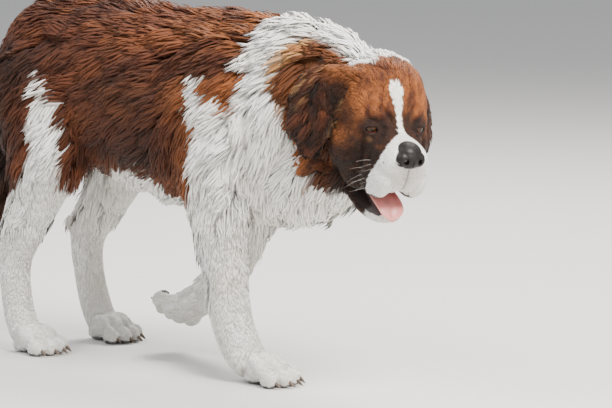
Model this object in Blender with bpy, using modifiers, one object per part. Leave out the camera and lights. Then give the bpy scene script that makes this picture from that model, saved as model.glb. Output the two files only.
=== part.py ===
# A long-coated Saint Bernard in a slow walk, life size, standing on three paws.
# Metres. +X is forward, +Y is the dog's left, +Z is up, and the floor is z = 0.
import itertools
import math

import bmesh
import bpy
import numpy as np
from mathutils import Matrix, Vector
from mathutils.bvhtree import BVHTree
from mathutils.kdtree import KDTree

# Driving dimensions
withers_height = 0.790
croup_height = 0.818
chest_floor = 0.366
chest_half_width = 0.160
rump_half_width = 0.140
front_spread = 0.098
hind_spread = 0.122
eye_gap = 0.1055
eyeball_radius = 0.0135
gap = 0.0004
sole_cut = 0.005
tail_cut = -0.458
hind_leg_cut = 0.430
front_leg_cut = 0.302
face_cut = (-0.120, -0.215)

# The head: the point between the eyes, and how the head is turned
head_place = Vector((0.695, -0.062, 0.583))
head_turn = math.radians(-25)
head_nod = math.radians(22)
head_tilt = math.radians(-3)

# Mesh sizes
body_voxel = 0.008
head_voxel = 0.0050
body_triangles = 3000
head_triangles = 1500
lock_seed = 7
coat_share = 0.25

# The lie of the coat. A row is where, which way, length, width, lift, spacing and how free a tip is.
# Rows are for the dog's right side and are mirrored for its left. A spacing of 0 means short fur, so no locks.
coat_rows = [
    ((0.30, -0.02, 0.80), (-1.0, -0.20, 0.00), 0.150, 0.095, 0.018, 0.092, 0.0),
    ((0.10, -0.02, 0.79), (-1.0, -0.10, -0.05), 0.165, 0.112, 0.014, 0.100, 0.0),
    ((-0.15, -0.02, 0.79), (-1.0, -0.10, -0.05), 0.165, 0.112, 0.013, 0.102, 0.0),
    ((-0.38, -0.02, 0.79), (-1.0, -0.10, -0.30), 0.160, 0.108, 0.014, 0.098, 0.0),
    ((0.25, -0.15, 0.66), (-0.8, 0.00, -0.60), 0.160, 0.110, 0.016, 0.096, 0.0),
    ((0.05, -0.15, 0.66), (-1.0, 0.00, -0.45), 0.165, 0.112, 0.014, 0.100, 0.0),
    ((-0.15, -0.14, 0.66), (-1.0, 0.00, -0.45), 0.165, 0.112, 0.013, 0.102, 0.0),
    ((0.24, -0.16, 0.52), (-0.5, 0.00, -0.90), 0.155, 0.106, 0.016, 0.094, 0.1),
    ((0.02, -0.15, 0.50), (-0.8, 0.00, -0.80), 0.155, 0.106, 0.016, 0.096, 0.2),
    ((-0.14, -0.14, 0.50), (-0.8, 0.00, -0.80), 0.150, 0.102, 0.016, 0.094, 0.3),
    ((0.02, -0.08, 0.40), (-0.6, 0.00, -0.90), 0.125, 0.080, 0.018, 0.092, 0.6),
    ((-0.15, -0.08, 0.44), (-0.6, 0.00, -0.90), 0.115, 0.078, 0.016, 0.094, 0.6),
    ((0.20, -0.05, 0.37), (-0.5, 0.00, -0.90), 0.115, 0.080, 0.016, 0.092, 0.5),
    ((0.36, -0.06, 0.42), (-0.25, 0.00, -1.0), 0.150, 0.085, 0.022, 0.084, 0.6),
    ((0.40, -0.11, 0.56), (-0.45, 0.00, -0.90), 0.155, 0.090, 0.020, 0.090, 0.2),
    ((0.42, -0.08, 0.74), (-0.9, -0.25, -0.50), 0.140, 0.090, 0.020, 0.086, 0.0),
    ((0.53, -0.13, 0.60), (-0.60, 0.00, -0.85), 0.145, 0.085, 0.020, 0.086, 0.2),
    ((0.50, -0.06, 0.46), (-0.25, 0.00, -1.0), 0.150, 0.085, 0.024, 0.080, 0.6),
    ((-0.34, -0.15, 0.64), (-0.45, 0.00, -0.90), 0.160, 0.108, 0.014, 0.098, 0.0),
    ((-0.30, -0.15, 0.50), (-0.35, 0.00, -0.95), 0.140, 0.096, 0.012, 0.092, 0.1),
    ((-0.42, -0.08, 0.66), (-0.45, 0.00, -0.95), 0.145, 0.085, 0.022, 0.086, 0.4),
    ((-0.42, -0.10, 0.50), (-0.50, 0.00, -0.90), 0.140, 0.076, 0.020, 0.080, 0.5),
    ((-0.38, -0.11, 0.38), (-0.55, 0.00, -0.85), 0.095, 0.056, 0.014, 0.068, 0.5),
    ((-0.24, -0.13, 0.38), (-0.20, 0.00, -1.0), 0.070, 0.040, 0.006, 0.000, 0.0),
    ((-0.37, -0.12, 0.22), (0.10, 0.00, -1.0), 0.060, 0.040, 0.006, 0.000, 0.0),
    ((-0.33, -0.12, 0.04), (0.80, 0.00, -0.60), 0.040, 0.030, 0.005, 0.000, 0.0),
    ((0.30, -0.12, 0.28), (-0.10, 0.00, -1.0), 0.060, 0.040, 0.006, 0.000, 0.0),
    ((0.34, -0.11, 0.10), (0.30, 0.00, -1.0), 0.050, 0.040, 0.005, 0.000, 0.0),
    ((0.18, -0.11, 0.33), (-0.55, 0.00, -0.90), 0.100, 0.052, 0.016, 0.064, 0.6),
    ((0.20, -0.11, 0.22), (-0.45, 0.00, -0.90), 0.075, 0.042, 0.012, 0.060, 0.5),
    ((0.22, -0.11, 0.12), (-0.10, 0.00, -1.0), 0.040, 0.030, 0.006, 0.000, 0.0),
    ((0.12, -0.12, 0.21), (-0.60, 0.00, -0.60), 0.050, 0.040, 0.006, 0.000, 0.0),
    ((0.05, -0.09, 0.24), (-0.60, 0.00, -0.60), 0.060, 0.042, 0.008, 0.060, 0.5),
    ((0.02, -0.10, 0.13), (-1.0, 0.00, -0.20), 0.040, 0.030, 0.005, 0.000, 0.0),
    ((-0.12, -0.10, 0.10), (-1.0, 0.00, -0.20), 0.030, 0.030, 0.004, 0.000, 0.0),
    ((-0.46, -0.03, 0.70), (-0.60, 0.00, -0.80), 0.125, 0.070, 0.018, 0.078, 0.2),
    ((-0.52, -0.03, 0.55), (-0.25, -0.20, -1.0), 0.140, 0.068, 0.022, 0.076, 0.4),
    ((-0.54, -0.03, 0.38), (-0.20, -0.20, -1.0), 0.140, 0.066, 0.024, 0.074, 0.4),
    ((-0.53, -0.02, 0.27), (-0.05, -0.10, -1.0), 0.110, 0.060, 0.018, 0.064, 0.4),
]

coat_places = np.array([row[0] for row in coat_rows])
coat_values = np.array([(*row[1], *row[2:]) for row in coat_rows])

# Plain colours for the nodes
red_brown = (0.30, 0.10, 0.045)
dark_brown = (0.060, 0.028, 0.018)
white = (0.80, 0.76, 0.70)
node_colours = {
    "torso": red_brown,
    "neck": white,
    "head": red_brown,
    "jaw": white,
    "tail": dark_brown,
    "ear": dark_brown,
    "eye": (0.10, 0.045, 0.015),
    "nose": (0.020, 0.018, 0.018),
    "tongue": (0.72, 0.30, 0.30),
    "front": white,
    "hind": white,
}


def mesh_object(name, points, faces, collection):
    mesh = bpy.data.meshes.new(name)
    mesh.from_pydata([tuple(p) for p in points], [], faces)
    mesh.update()
    obj = bpy.data.objects.new(name, mesh)
    collection.objects.link(obj)
    return obj


def outward(mesh):
    shape = bmesh.new()
    shape.from_mesh(mesh)
    bmesh.ops.recalc_face_normals(shape, faces=shape.faces)
    if shape.calc_volume(signed=True) < 0:
        bmesh.ops.reverse_faces(shape, faces=shape.faces)
    shape.to_mesh(mesh)
    shape.free()


def smooth_rows(rows, steps):
    """Catmull-Rom rows between the given ones, steps for each span."""
    rows = np.array(rows, float)
    padded = np.vstack([2 * rows[0] - rows[1], rows, 2 * rows[-1] - rows[-2]])
    made = []
    for a, b, c, d in zip(padded, padded[1:], padded[2:], padded[3:]):
        for t in np.linspace(0, 1, steps, endpoint=False):
            square = (2 * a - 5 * b + 4 * c - d) * t**2
            made.append(0.5 * (2 * b + (c - a) * t + square + (3 * b - a - 3 * c + d) * t**3))
    made.append(rows[-1])
    return np.array(made)


def loft(name, rings, collection):
    """A closed skin over rings of equally many points."""
    count = len(rings[0])
    faces = [tuple(reversed(range(count)))]
    for k in range(len(rings) - 1):
        for i in range(count):
            j = (i + 1) % count
            faces.append((k * count + i, k * count + j, (k + 1) * count + j, (k + 1) * count + i))
    faces.append(tuple(range((len(rings) - 1) * count, len(rings) * count)))
    obj = mesh_object(name, [p for ring in rings for p in ring], faces, collection)
    outward(obj.data)
    return obj


def trunk_like(name, stations, collection, sides=28, place=Matrix.Identity(4)):
    """A loft along X. A station is x, y, top, bottom and half width."""
    rings = []
    for x, y, top, bottom, half_width in smooth_rows(stations, 3):
        ring = []
        for k in range(sides):
            a = 2 * math.pi * k / sides
            height = (top + bottom) / 2 + (top - bottom) / 2 * math.cos(a)
            ring.append(place @ Vector((x, y + half_width * math.sin(a), height)))
        rings.append(ring)
    return loft(name, rings, collection)


def limb(name, joints, collection, sides=16, steps=3):
    """A tube through joints. A joint is x, y, z, half depth fore and aft, and half width across."""
    rows = smooth_rows(joints, steps)
    rings = []
    for k, row in enumerate(rows):
        ahead = Vector(rows[min(k + 1, len(rows) - 1)][:3]) - Vector(rows[max(k - 1, 0)][:3])
        ahead.normalize()
        across = Vector((0, 1, 0))
        across = (across - ahead * across.dot(ahead)).normalized()
        fore = across.cross(ahead)
        ring = []
        for i in range(sides):
            a = 2 * math.pi * i / sides
            ring.append(Vector(row[:3]) + fore * row[3] * math.cos(a) + across * row[4] * math.sin(a))
        rings.append(ring)
    return loft(name, rings, collection)


def ball(name, centre, radii, collection, place=Matrix.Identity(4), turn=(0, 0, 0), segments=16):
    """An ellipsoid. turn is its rotation about X, Y and Z in degrees."""
    shape = bmesh.new()
    bmesh.ops.create_uvsphere(shape, u_segments=segments, v_segments=segments * 5 // 8, radius=1)
    spin = Matrix.Rotation(math.radians(turn[2]), 4, "Z")
    spin @= Matrix.Rotation(math.radians(turn[1]), 4, "Y")
    spin @= Matrix.Rotation(math.radians(turn[0]), 4, "X")
    shape.transform(place @ Matrix.Translation(centre) @ spin @ Matrix.Diagonal((*radii, 1)))
    mesh = bpy.data.meshes.new(name)
    shape.to_mesh(mesh)
    shape.free()
    outward(mesh)
    obj = bpy.data.objects.new(name, mesh)
    collection.objects.link(obj)
    return obj


def box(name, low, high, collection, place=Matrix.Identity(4)):
    picks = [(low[0], high[0]), (low[1], high[1]), (low[2], high[2])]
    corners = [place @ Vector(corner) for corner in itertools.product(*picks)]
    faces = [(0, 1, 3, 2), (4, 6, 7, 5), (0, 4, 5, 1), (2, 3, 7, 6), (0, 2, 6, 4), (1, 5, 7, 3)]
    obj = mesh_object(name, corners, faces, collection)
    outward(obj.data)
    return obj


def evaluated(obj):
    graph = bpy.context.evaluated_depsgraph_get()
    obj.data = bpy.data.meshes.new_from_object(obj.evaluated_get(graph))
    obj.modifiers.clear()
    return obj


def fused(name, pieces, voxel, smoothing, triangles, collection):
    """The pieces as one smooth closed mesh of about this many triangles, and the pieces removed."""
    joined = bmesh.new()
    for piece in pieces:
        joined.from_mesh(piece.data)
        bpy.data.objects.remove(piece)
    mesh = bpy.data.meshes.new(name)
    joined.to_mesh(mesh)
    joined.free()
    obj = bpy.data.objects.new(name, mesh)
    collection.objects.link(obj)
    remesh = obj.modifiers.new("one skin", "REMESH")
    remesh.mode = "VOXEL"
    remesh.voxel_size = voxel
    smooth = obj.modifiers.new("soft joins", "SMOOTH")
    smooth.iterations = smoothing
    smooth.factor = 0.5
    evaluated(obj)
    fewer = obj.modifiers.new("fewer", "DECIMATE")
    fewer.ratio = min(1.0, triangles / (2 * len(obj.data.polygons)))
    fewer.use_collapse_triangulate = True
    return evaluated(obj)


def boolean(obj, operation, others, solver="MANIFOLD"):
    """obj joined with, cut by or kept inside the others, which are removed."""
    helpers = bpy.data.collections.new("helpers")
    bpy.context.scene.collection.children.link(helpers)
    for other in others:
        for user in list(other.users_collection):
            user.objects.unlink(other)
        helpers.objects.link(other)
    change = obj.modifiers.new(operation.lower(), "BOOLEAN")
    change.operation = operation
    change.operand_type = "COLLECTION"
    change.collection = helpers
    change.solver = solver
    evaluated(obj)
    for other in list(helpers.objects):
        bpy.data.objects.remove(other)
    bpy.data.collections.remove(helpers)
    return obj


def copy_of(obj, name, collection):
    made = bpy.data.objects.new(name, obj.data.copy())
    collection.objects.link(made)
    return made


def fat_copy(obj, collection, by=gap):
    """The same shape, larger by a hair all round."""
    made = copy_of(obj, obj.name + "_fat", collection)
    shape = bmesh.new()
    shape.from_mesh(made.data)
    shape.normal_update()
    for vertex in shape.verts:
        vertex.co += vertex.normal * by
    shape.to_mesh(made.data)
    shape.free()
    return made


def mended(obj):
    """The mesh without faces laid back to back, and with a hair between sheets that only touch."""
    shape = bmesh.new()
    shape.from_mesh(obj.data)
    bmesh.ops.triangulate(shape, faces=shape.faces)
    for _ in range(6):
        by_corners = {}
        for face in shape.faces:
            by_corners.setdefault(frozenset(face.verts), []).append(face)
        doubled = [face for faces in by_corners.values() if len(faces) > 1 for face in faces]
        bmesh.ops.delete(shape, geom=doubled, context="FACES")
        open_edges = [edge for edge in shape.edges if len(edge.link_faces) == 1]
        strays = {face for edge in open_edges for face in edge.link_faces}
        bmesh.ops.delete(shape, geom=list(strays), context="FACES")
        if not doubled and not strays:
            break
    shape.verts.ensure_lookup_table()
    near = KDTree(len(shape.verts))
    for vertex in shape.verts:
        near.insert(vertex.co, vertex.index)
    near.balance()
    moves = {}
    for vertex in shape.verts:
        touching = [index for _, index, _ in near.find_range(vertex.co, 3e-6)]
        if vertex.link_edges and len(touching) > 1:
            others = [edge.other_vert(vertex) for edge in vertex.link_edges]
            away = sum(((other.co - vertex.co).normalized() for other in others), Vector())
            moves[vertex] = away.normalized() * 2e-5
    for vertex, move in moves.items():
        vertex.co += move
    shape.to_mesh(obj.data)
    shape.free()
    return obj


def largest_body(obj):
    """Only the largest closed surface stays."""
    shape = bmesh.new()
    shape.from_mesh(obj.data)
    bmesh.ops.triangulate(shape, faces=shape.faces)
    left = set(shape.faces)
    groups = []
    while left:
        group = {left.pop()}
        growing = list(group)
        while growing:
            for edge in growing.pop().edges:
                for other in edge.link_faces:
                    if other in left and len(edge.link_faces) == 2:
                        left.discard(other)
                        group.add(other)
                        growing.append(other)
        groups.append(group)
    groups.sort(key=len)
    for group in groups[:-1]:
        bmesh.ops.delete(shape, geom=list(group), context="FACES")
    bmesh.ops.delete(shape, geom=[v for v in shape.verts if not v.link_faces], context="VERTS")
    shape.to_mesh(obj.data)
    shape.free()
    return obj


# The coat
def lie_of_coat(point):
    """Direction, length, width, lift, spacing and hang of the coat at a point, from the rows near it."""
    side = np.sign(point[1]) or 1.0
    here = np.array((point[0], -abs(point[1]), point[2]))
    weight = 1 / (np.sum((coat_places - here) ** 2, axis=1) + 0.0004) ** 2
    mixed = weight @ coat_values / weight.sum()
    way = Vector((mixed[0], -side * mixed[1], mixed[2])).normalized()
    return way, mixed[3], mixed[4], mixed[5], coat_values[np.argmax(weight)][6], mixed[7]


def spread_points(obj, random, wanted):
    """Points over the mesh, no nearer each other than the coat's spacing there, with their normals."""
    mesh = obj.data
    mesh.calc_loop_triangles()
    points = np.array([v.co for v in mesh.vertices])
    corners = points[[t.vertices[:] for t in mesh.loop_triangles]]
    crossed = np.cross(corners[:, 1] - corners[:, 0], corners[:, 2] - corners[:, 0])
    area = np.linalg.norm(crossed, axis=1)
    chosen = random.choice(len(corners), 9000, p=area / area.sum())
    a, b = np.sqrt(random.random(9000)), random.random(9000)
    spots = corners[chosen, 0] * (1 - a)[:, None] + corners[chosen, 1] * (a * (1 - b))[:, None]
    spots += corners[chosen, 2] * (a * b)[:, None]
    normals = crossed[chosen] / area[chosen][:, None]
    kept = []
    for spot, normal in zip(spots, normals):
        spacing = lie_of_coat(spot)[4]
        if spacing <= 0 or not wanted(spot, normal):
            continue
        if all(np.linalg.norm(spot - other[0]) > spacing for other in kept):
            kept.append((spot, normal))
    return kept


def lock(name, root, way, shape, tree, collection):
    """A flat tapered lock that bends and follows the body, with its root sunk in."""
    length, width, lift, hang, bend, lean = shape
    spot, surface, _, _ = tree.find_nearest(root)
    steps = [
        (0.0, -0.015, 0.42, 0.012),
        (0.36, 0.55, 0.50, 0.010),
        (0.74, 1.0, 0.36, 0.008),
        (1.0, 0.9, 0.0, 0.0),
    ]
    points = []
    before = 0.0
    for share, height, half, thick in steps:
        ahead = (way - surface * way.dot(surface) * (1 - hang)).normalized()
        ahead = (ahead + surface.cross(ahead) * bend * share).normalized()
        spot = spot + ahead * (share - before) * length
        before = share
        nearest, toward, _, _ = tree.find_nearest(spot)
        free = hang * share
        if share > 0:
            surface = (toward * (1 - free) + surface * free).normalized()
            spot = nearest * (1 - free) + spot * free
        above = spot + surface * (height if height < 0 else height * lift)
        if not half:
            points.append(above)
            continue
        side = ahead.cross(surface).normalized() * (half * width)
        under = surface * (0.4 * thick)
        crest = above + surface * thick + side * lean
        points += [above + side - under, crest, above - side - under]
    faces = [(2, 1, 0), (6, 7, 9), (7, 8, 9), (8, 6, 9)]
    for k in (0, 3):
        for i in range(3):
            j = (i + 1) % 3
            faces += [(k + i, k + j, k + j + 3), (k + i, k + j + 3, k + i + 3)]
    obj = mesh_object(name, points, faces, collection)
    outward(obj.data)
    return obj


def locks_for(spots, tree, collection):
    """A lock at each spot, each a little unlike the next."""
    random = np.random.default_rng(lock_seed)
    made = []
    for k, (spot, normal) in enumerate(spots):
        way, length, width, lift, _, hang = lie_of_coat(spot)
        swing, bend = random.normal(0, 0.14), random.normal(0, 0.22)
        size, drop = random.uniform(0.88, 1.12), random.uniform(0.85, 1.15)
        lean = random.uniform(-0.4, 0.4)
        way = (way + Vector(normal).cross(way) * float(swing)).normalized()
        shape = (length * size, width * size, lift * drop, hang, float(bend), float(lean))
        made.append(lock(f"lock_{k}", Vector(spot), way, shape, tree, collection))
    return made


# The body
def grown(obj, share):
    """The core moved out to this share of the long coat's depth. Short fur adds nothing."""
    shape = bmesh.new()
    shape.from_mesh(obj.data)
    shape.normal_update()
    moves = []
    for vertex in shape.verts:
        depth = max(lie_of_coat(vertex.co)[3] - 0.006, 0.0) * 1.5
        moves.append(vertex.normal * depth * share)
    for vertex, move in zip(shape.verts, moves):
        vertex.co += move
    shape.to_mesh(obj.data)
    shape.free()
    return obj


def body_pieces(collection):
    top, croup, floor = withers_height, croup_height, chest_floor
    wide, rump = chest_half_width, rump_half_width
    trunk = trunk_like(
        "trunk",
        [
            (-0.424, 0, croup - 0.10, 0.600, rump * 0.35),
            (-0.388, 0, croup - 0.035, 0.520, rump * 0.76),
            (-0.318, 0, croup - 0.004, 0.475, rump * 0.98),
            (-0.220, 0, croup, 0.450, rump),
            (-0.080, 0, top + 0.010, 0.415, wide * 0.94),
            (0.050, 0, top - 0.002, 0.382, wide),
            (0.170, 0, top, floor, wide),
            (0.270, 0, top - 0.002, floor, wide * 0.96),
            (0.350, 0, top - 0.020, floor + 0.015, wide * 0.82),
            (0.410, 0, top - 0.070, floor + 0.060, wide * 0.55),
        ],
        collection,
    )
    neck = trunk_like(
        "neck",
        [
            (0.240, 0.000, top - 0.010, floor + 0.020, 0.140),
            (0.340, -0.002, top - 0.008, floor + 0.004, 0.134),
            (0.430, -0.010, top - 0.010, floor + 0.008, 0.116),
            (0.510, -0.024, top - 0.020, floor + 0.024, 0.100),
            (0.570, -0.040, top - 0.044, floor + 0.080, 0.082),
            (0.610, -0.056, top - 0.080, floor + 0.140, 0.062),
        ],
        collection,
    )
    back_of_head = trunk_like("back_of_head", skull_stations, collection, place=head_matrix())
    return [trunk, neck, back_of_head]


def toes(prefix, place, collection):
    """Four toes with claws. place carries a paw with its heel at the origin and its toes along +X."""
    made = []
    for k in range(4):
        side = k - 1.5
        reach = 0.092 - 0.008 * side * side
        across = 0.0255 * side
        knuckle = (reach - 0.034, across * 0.9, 0.044)
        tip = (reach, across * 1.06, 0.0225)
        claw = (reach + 0.024, across * 1.12, 0.0140)
        for part, spot, radii, turn in (
            ("knuckle", knuckle, (0.034, 0.0160, 0.023), (0, 28, side * 4)),
            ("tip", tip, (0.026, 0.0155, 0.022), (0, 10, side * 5)),
            ("claw", claw, (0.013, 0.0060, 0.0070), (0, 24, side * 6)),
        ):
            made.append(ball(f"{prefix}_{part}_{k}", spot, radii, collection, place, turn))
    radii = (0.056, 0.044, 0.034)
    made.append(ball(f"{prefix}_instep", (0.030, 0, 0.040), radii, collection, place, (0, 16, 0)))
    made.append(ball(f"{prefix}_heel_pad", (0.010, 0, 0.020), (0.036, 0.036, 0.024), collection, place))
    return made


def planted(x, y, turn=0.0):
    return Matrix.Translation((x, y, -sole_cut)) @ Matrix.Rotation(turn, 4, "Z")


def leg_pieces(collection):
    s, h = front_spread, hind_spread
    front_right = [
        (0.235, -s - 0.012, 0.560, 0.085, 0.052),
        (0.232, -s - 0.014, 0.460, 0.080, 0.052),
        (0.236, -s - 0.010, 0.380, 0.066, 0.050),
        (0.246, -s - 0.004, 0.290, 0.056, 0.047),
        (0.256, -s, 0.210, 0.050, 0.045),
        (0.260, -s, 0.165, 0.050, 0.046),
        (0.276, -s, 0.110, 0.046, 0.046),
        (0.306, -s, 0.060, 0.044, 0.046),
        (0.330, -s, 0.035, 0.036, 0.042),
    ]
    front_left = [
        (0.225, s + 0.010, 0.560, 0.085, 0.052),
        (0.205, s + 0.010, 0.460, 0.080, 0.052),
        (0.172, s + 0.006, 0.380, 0.066, 0.050),
        (0.132, s + 0.000, 0.290, 0.054, 0.046),
        (0.100, s - 0.006, 0.212, 0.048, 0.044),
        (0.070, s - 0.008, 0.172, 0.046, 0.044),
        (0.020, s - 0.010, 0.136, 0.040, 0.044),
        (-0.020, s - 0.012, 0.118, 0.038, 0.042),
    ]
    hind_right = [
        (-0.330, -0.085, 0.680, 0.120, 0.060),
        (-0.285, -0.108, 0.560, 0.122, 0.062),
        (-0.266, -h, 0.460, 0.092, 0.056),
        (-0.296, -h - 0.004, 0.370, 0.066, 0.048),
        (-0.344, -h - 0.004, 0.280, 0.050, 0.040),
        (-0.376, -h - 0.002, 0.215, 0.044, 0.037),
        (-0.376, -h, 0.150, 0.036, 0.035),
        (-0.364, -h, 0.085, 0.036, 0.037),
        (-0.344, -h, 0.040, 0.034, 0.038),
    ]
    hind_left = [
        (-0.330, 0.085, 0.680, 0.120, 0.060),
        (-0.285, 0.108, 0.560, 0.122, 0.062),
        (-0.262, h, 0.460, 0.092, 0.056),
        (-0.286, h + 0.002, 0.380, 0.066, 0.048),
        (-0.336, h + 0.002, 0.305, 0.050, 0.040),
        (-0.378, h, 0.240, 0.044, 0.037),
        (-0.372, h - 0.002, 0.160, 0.036, 0.035),
        (-0.352, h - 0.004, 0.090, 0.036, 0.037),
        (-0.330, h - 0.004, 0.042, 0.034, 0.038),
    ]
    made = [
        limb("front_left", front_left, collection),
        limb("front_right", front_right, collection),
        limb("hind_right", hind_right, collection),
        limb("hind_left", hind_left, collection),
        ball("heel_right", (-0.408, -h - 0.003, 0.228), (0.024, 0.020, 0.036), collection, turn=(0, -12, 0)),
        ball("heel_left", (-0.412, h, 0.262), (0.024, 0.020, 0.036), collection, turn=(0, -18, 0)),
    ]
    for side in (-1, 1):
        blade = (0.235, side * 0.098, 0.600)
        made.append(ball(f"blade_{side}", blade, (0.095, 0.058, 0.150), collection, turn=(0, 15, 0)))
        thigh = (-0.302, side * 0.090, 0.590)
        made.append(ball(f"thigh_{side}", thigh, (0.122, 0.064, 0.150), collection, turn=(0, 20, 0)))
    made += toes("front_right", planted(0.335, -s), collection)
    made += toes("hind_right", planted(-0.350, -h), collection)
    made += toes("hind_left", planted(-0.338, h - 0.004), collection)
    roll = Matrix.Rotation(math.radians(35), 4, "X")
    fold = Matrix.Rotation(math.radians(160), 4, "Y") @ roll
    hanging = Matrix.Translation((-0.005, s - 0.012, 0.122)) @ fold
    made += toes("front_left", hanging @ Matrix.Translation((0, 0, -0.034)), collection)
    return made


def tail_piece(collection):
    joints = [
        (-0.375, 0, 0.750, 0.045, 0.050),
        (-0.440, 0, 0.712, 0.044, 0.046),
        (-0.488, 0, 0.620, 0.042, 0.042),
        (-0.512, 0, 0.500, 0.040, 0.038),
        (-0.524, 0, 0.370, 0.036, 0.034),
        (-0.524, 0, 0.260, 0.028, 0.026),
        (-0.512, 0, 0.190, 0.014, 0.013),
    ]
    return limb("tail", joints, collection, sides=14)


# The head, in its own frame: +X to the nose, +Y to the dog's left, the origin between the eyes
def head_matrix():
    turn = Matrix.Rotation(head_turn, 4, "Z") @ Matrix.Rotation(head_nod, 4, "Y")
    return Matrix.Translation(head_place) @ turn @ Matrix.Rotation(head_tilt, 4, "X")


skull_stations = [
    (-0.195, 0, 0.050, -0.085, 0.068),
    (-0.165, 0, 0.095, -0.120, 0.095),
    (-0.120, 0, 0.121, -0.134, 0.104),
    (-0.075, 0, 0.127, -0.136, 0.106),
    (-0.035, 0, 0.110, -0.134, 0.098),
    (-0.006, 0, 0.066, -0.128, 0.084),
    (0.014, 0, 0.024, -0.124, 0.070),
    (0.040, 0, 0.006, -0.118, 0.062),
    (0.072, 0, 0.001, -0.112, 0.060),
    (0.092, 0, -0.008, -0.100, 0.049),
    (0.103, 0, -0.024, -0.082, 0.030),
]


def skull_pieces(collection):
    place = head_matrix()
    made = [trunk_like("skull", skull_stations, collection, place=place)]
    for side in (-1, 1):
        flew = (0.042, side * 0.040, -0.092)
        made.append(ball(f"flew_{side}", flew, (0.058, 0.030, 0.050), collection, place, (0, -6, 0)))
        front = (0.062, side * 0.018, -0.080)
        made.append(ball(f"front_lip_{side}", front, (0.040, 0.030, 0.040), collection, place))
        lip = (-0.020, side * 0.056, -0.112)
        made.append(ball(f"lip_{side}", lip, (0.052, 0.026, 0.040), collection, place, (0, 8, side * -14)))
        cheek = (-0.055, side * 0.066, -0.060)
        made.append(ball(f"cheek_{side}", cheek, (0.070, 0.044, 0.068), collection, place))
        brow = (-0.014, side * 0.042, 0.036)
        made.append(ball(f"brow_{side}", brow, (0.030, 0.028, 0.017), collection, place, (0, 40, 0)))
        lid = eye_spot(side)
        made.append(ball(f"lid_{side}", lid, (0.0175, 0.0185, 0.0165), collection, place))
    return made


def eye_spot(side):
    return (-0.003, side * eye_gap / 2, 0.0)


def gaze(side):
    """The frame of an eye, looking along +X."""
    turn = Matrix.Rotation(math.radians(side * 22), 4, "Z") @ Matrix.Rotation(math.radians(4), 4, "Y")
    return head_matrix() @ Matrix.Translation(eye_spot(side)) @ turn


def face_cutters(collection):
    """The openings between the lids, and the crease down the middle of the upper lip."""
    made = []
    for side in (-1, 1):
        opening = (0.030, 0.0118, 0.0072)
        spot = (0.022, 0, 0.0005)
        made.append(ball(f"opening_{side}", spot, opening, collection, gaze(side), (side * -8, 0, 0)))
    crease = (0.112, 0, -0.078)
    made.append(ball("crease", crease, (0.010, 0.0022, 0.036), collection, head_matrix()))
    return made


def eye(side, collection, grow=0.0):
    name = "eye_R" if side < 0 else "eye_L"
    return ball(name, (0, 0, 0), [eyeball_radius + grow] * 3, collection, gaze(side), (0, 90, 0), 14)


def nose(collection):
    place = head_matrix()
    pieces = [
        ball("tip", (0.094, 0, -0.024), (0.0200, 0.0225, 0.0200), collection, place),
        ball("top", (0.084, 0, -0.010), (0.0220, 0.0200, 0.0130), collection, place, (0, 8, 0)),
    ]
    for side in (-1, 1):
        wing = (0.094, side * 0.017, -0.024)
        pieces.append(ball(f"wing_{side}", wing, (0.0150, 0.0125, 0.0145), collection, place))
    made = fused("nose", pieces, 0.0028, 2, 260, collection)
    whole = fat_copy(made, collection)
    nostrils = []
    for side in (-1, 1):
        hole = (0.1075, side * 0.0135, -0.025)
        radii = (0.0120, 0.0050, 0.0062)
        nostrils.append(ball(f"nostril_{side}", hole, radii, collection, place, (0, 0, side * 20), 8))
        slit = (0.100, side * 0.0255, -0.032)
        radii = (0.0100, 0.0060, 0.0024)
        turn = (side * 20, 0, side * 30)
        nostrils.append(ball(f"slit_{side}", slit, radii, collection, place, turn, 8))
    return boolean(made, "DIFFERENCE", nostrils, "EXACT"), whole


def ear(side, collection):
    """A hanging flap, rolled in along its front edge, with the hollow of its cup behind."""
    place = head_matrix()
    splay = math.radians(28)
    rows = [
        (-0.086, 0.078, 0.094, 0.020, 0.014, 0.008),
        (-0.098, 0.106, 0.082, 0.034, 0.013, 0.010),
        (-0.110, 0.132, 0.048, 0.054, 0.012, 0.013),
        (-0.112, 0.146, 0.004, 0.063, 0.011, 0.014),
        (-0.108, 0.149, -0.042, 0.060, 0.010, 0.012),
        (-0.098, 0.146, -0.086, 0.043, 0.009, 0.008),
        (-0.092, 0.140, -0.122, 0.016, 0.006, 0.003),
    ]
    fore = Vector((math.cos(splay), -math.sin(splay), 0))
    outer = Vector((math.sin(splay), math.cos(splay), 0))
    rings = []
    for x, y, z, wide, thick, bow in smooth_rows(rows, 2):
        if side > 0:
            y -= 0.022 * min(1.0, max(0.0, (z + 0.06) / 0.12))
            z = 0.86 * z - 0.018
        ring = []
        for k in range(14):
            a = 2 * math.pi * k / 14
            out = thick * math.sin(a) - bow * math.cos(a) ** 2
            here = Vector((x, y, z)) + fore * wide * math.cos(a) + outer * out
            ring.append(place @ Vector((here[0], side * here[1], here[2])))
        rings.append(ring)
    return loft("ear_R" if side < 0 else "ear_L", rings, collection)


def jaw_pieces(collection):
    place = head_matrix()
    stations = [
        (-0.155, 0, -0.100, -0.170, 0.056),
        (-0.110, 0, -0.118, -0.182, 0.056),
        (-0.060, 0, -0.140, -0.196, 0.055),
        (0.000, 0, -0.162, -0.206, 0.050),
        (0.045, 0, -0.166, -0.204, 0.042),
        (0.070, 0, -0.170, -0.194, 0.026),
    ]
    return [trunk_like("jaw_core", stations, collection, sides=18, place=place)]


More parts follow.
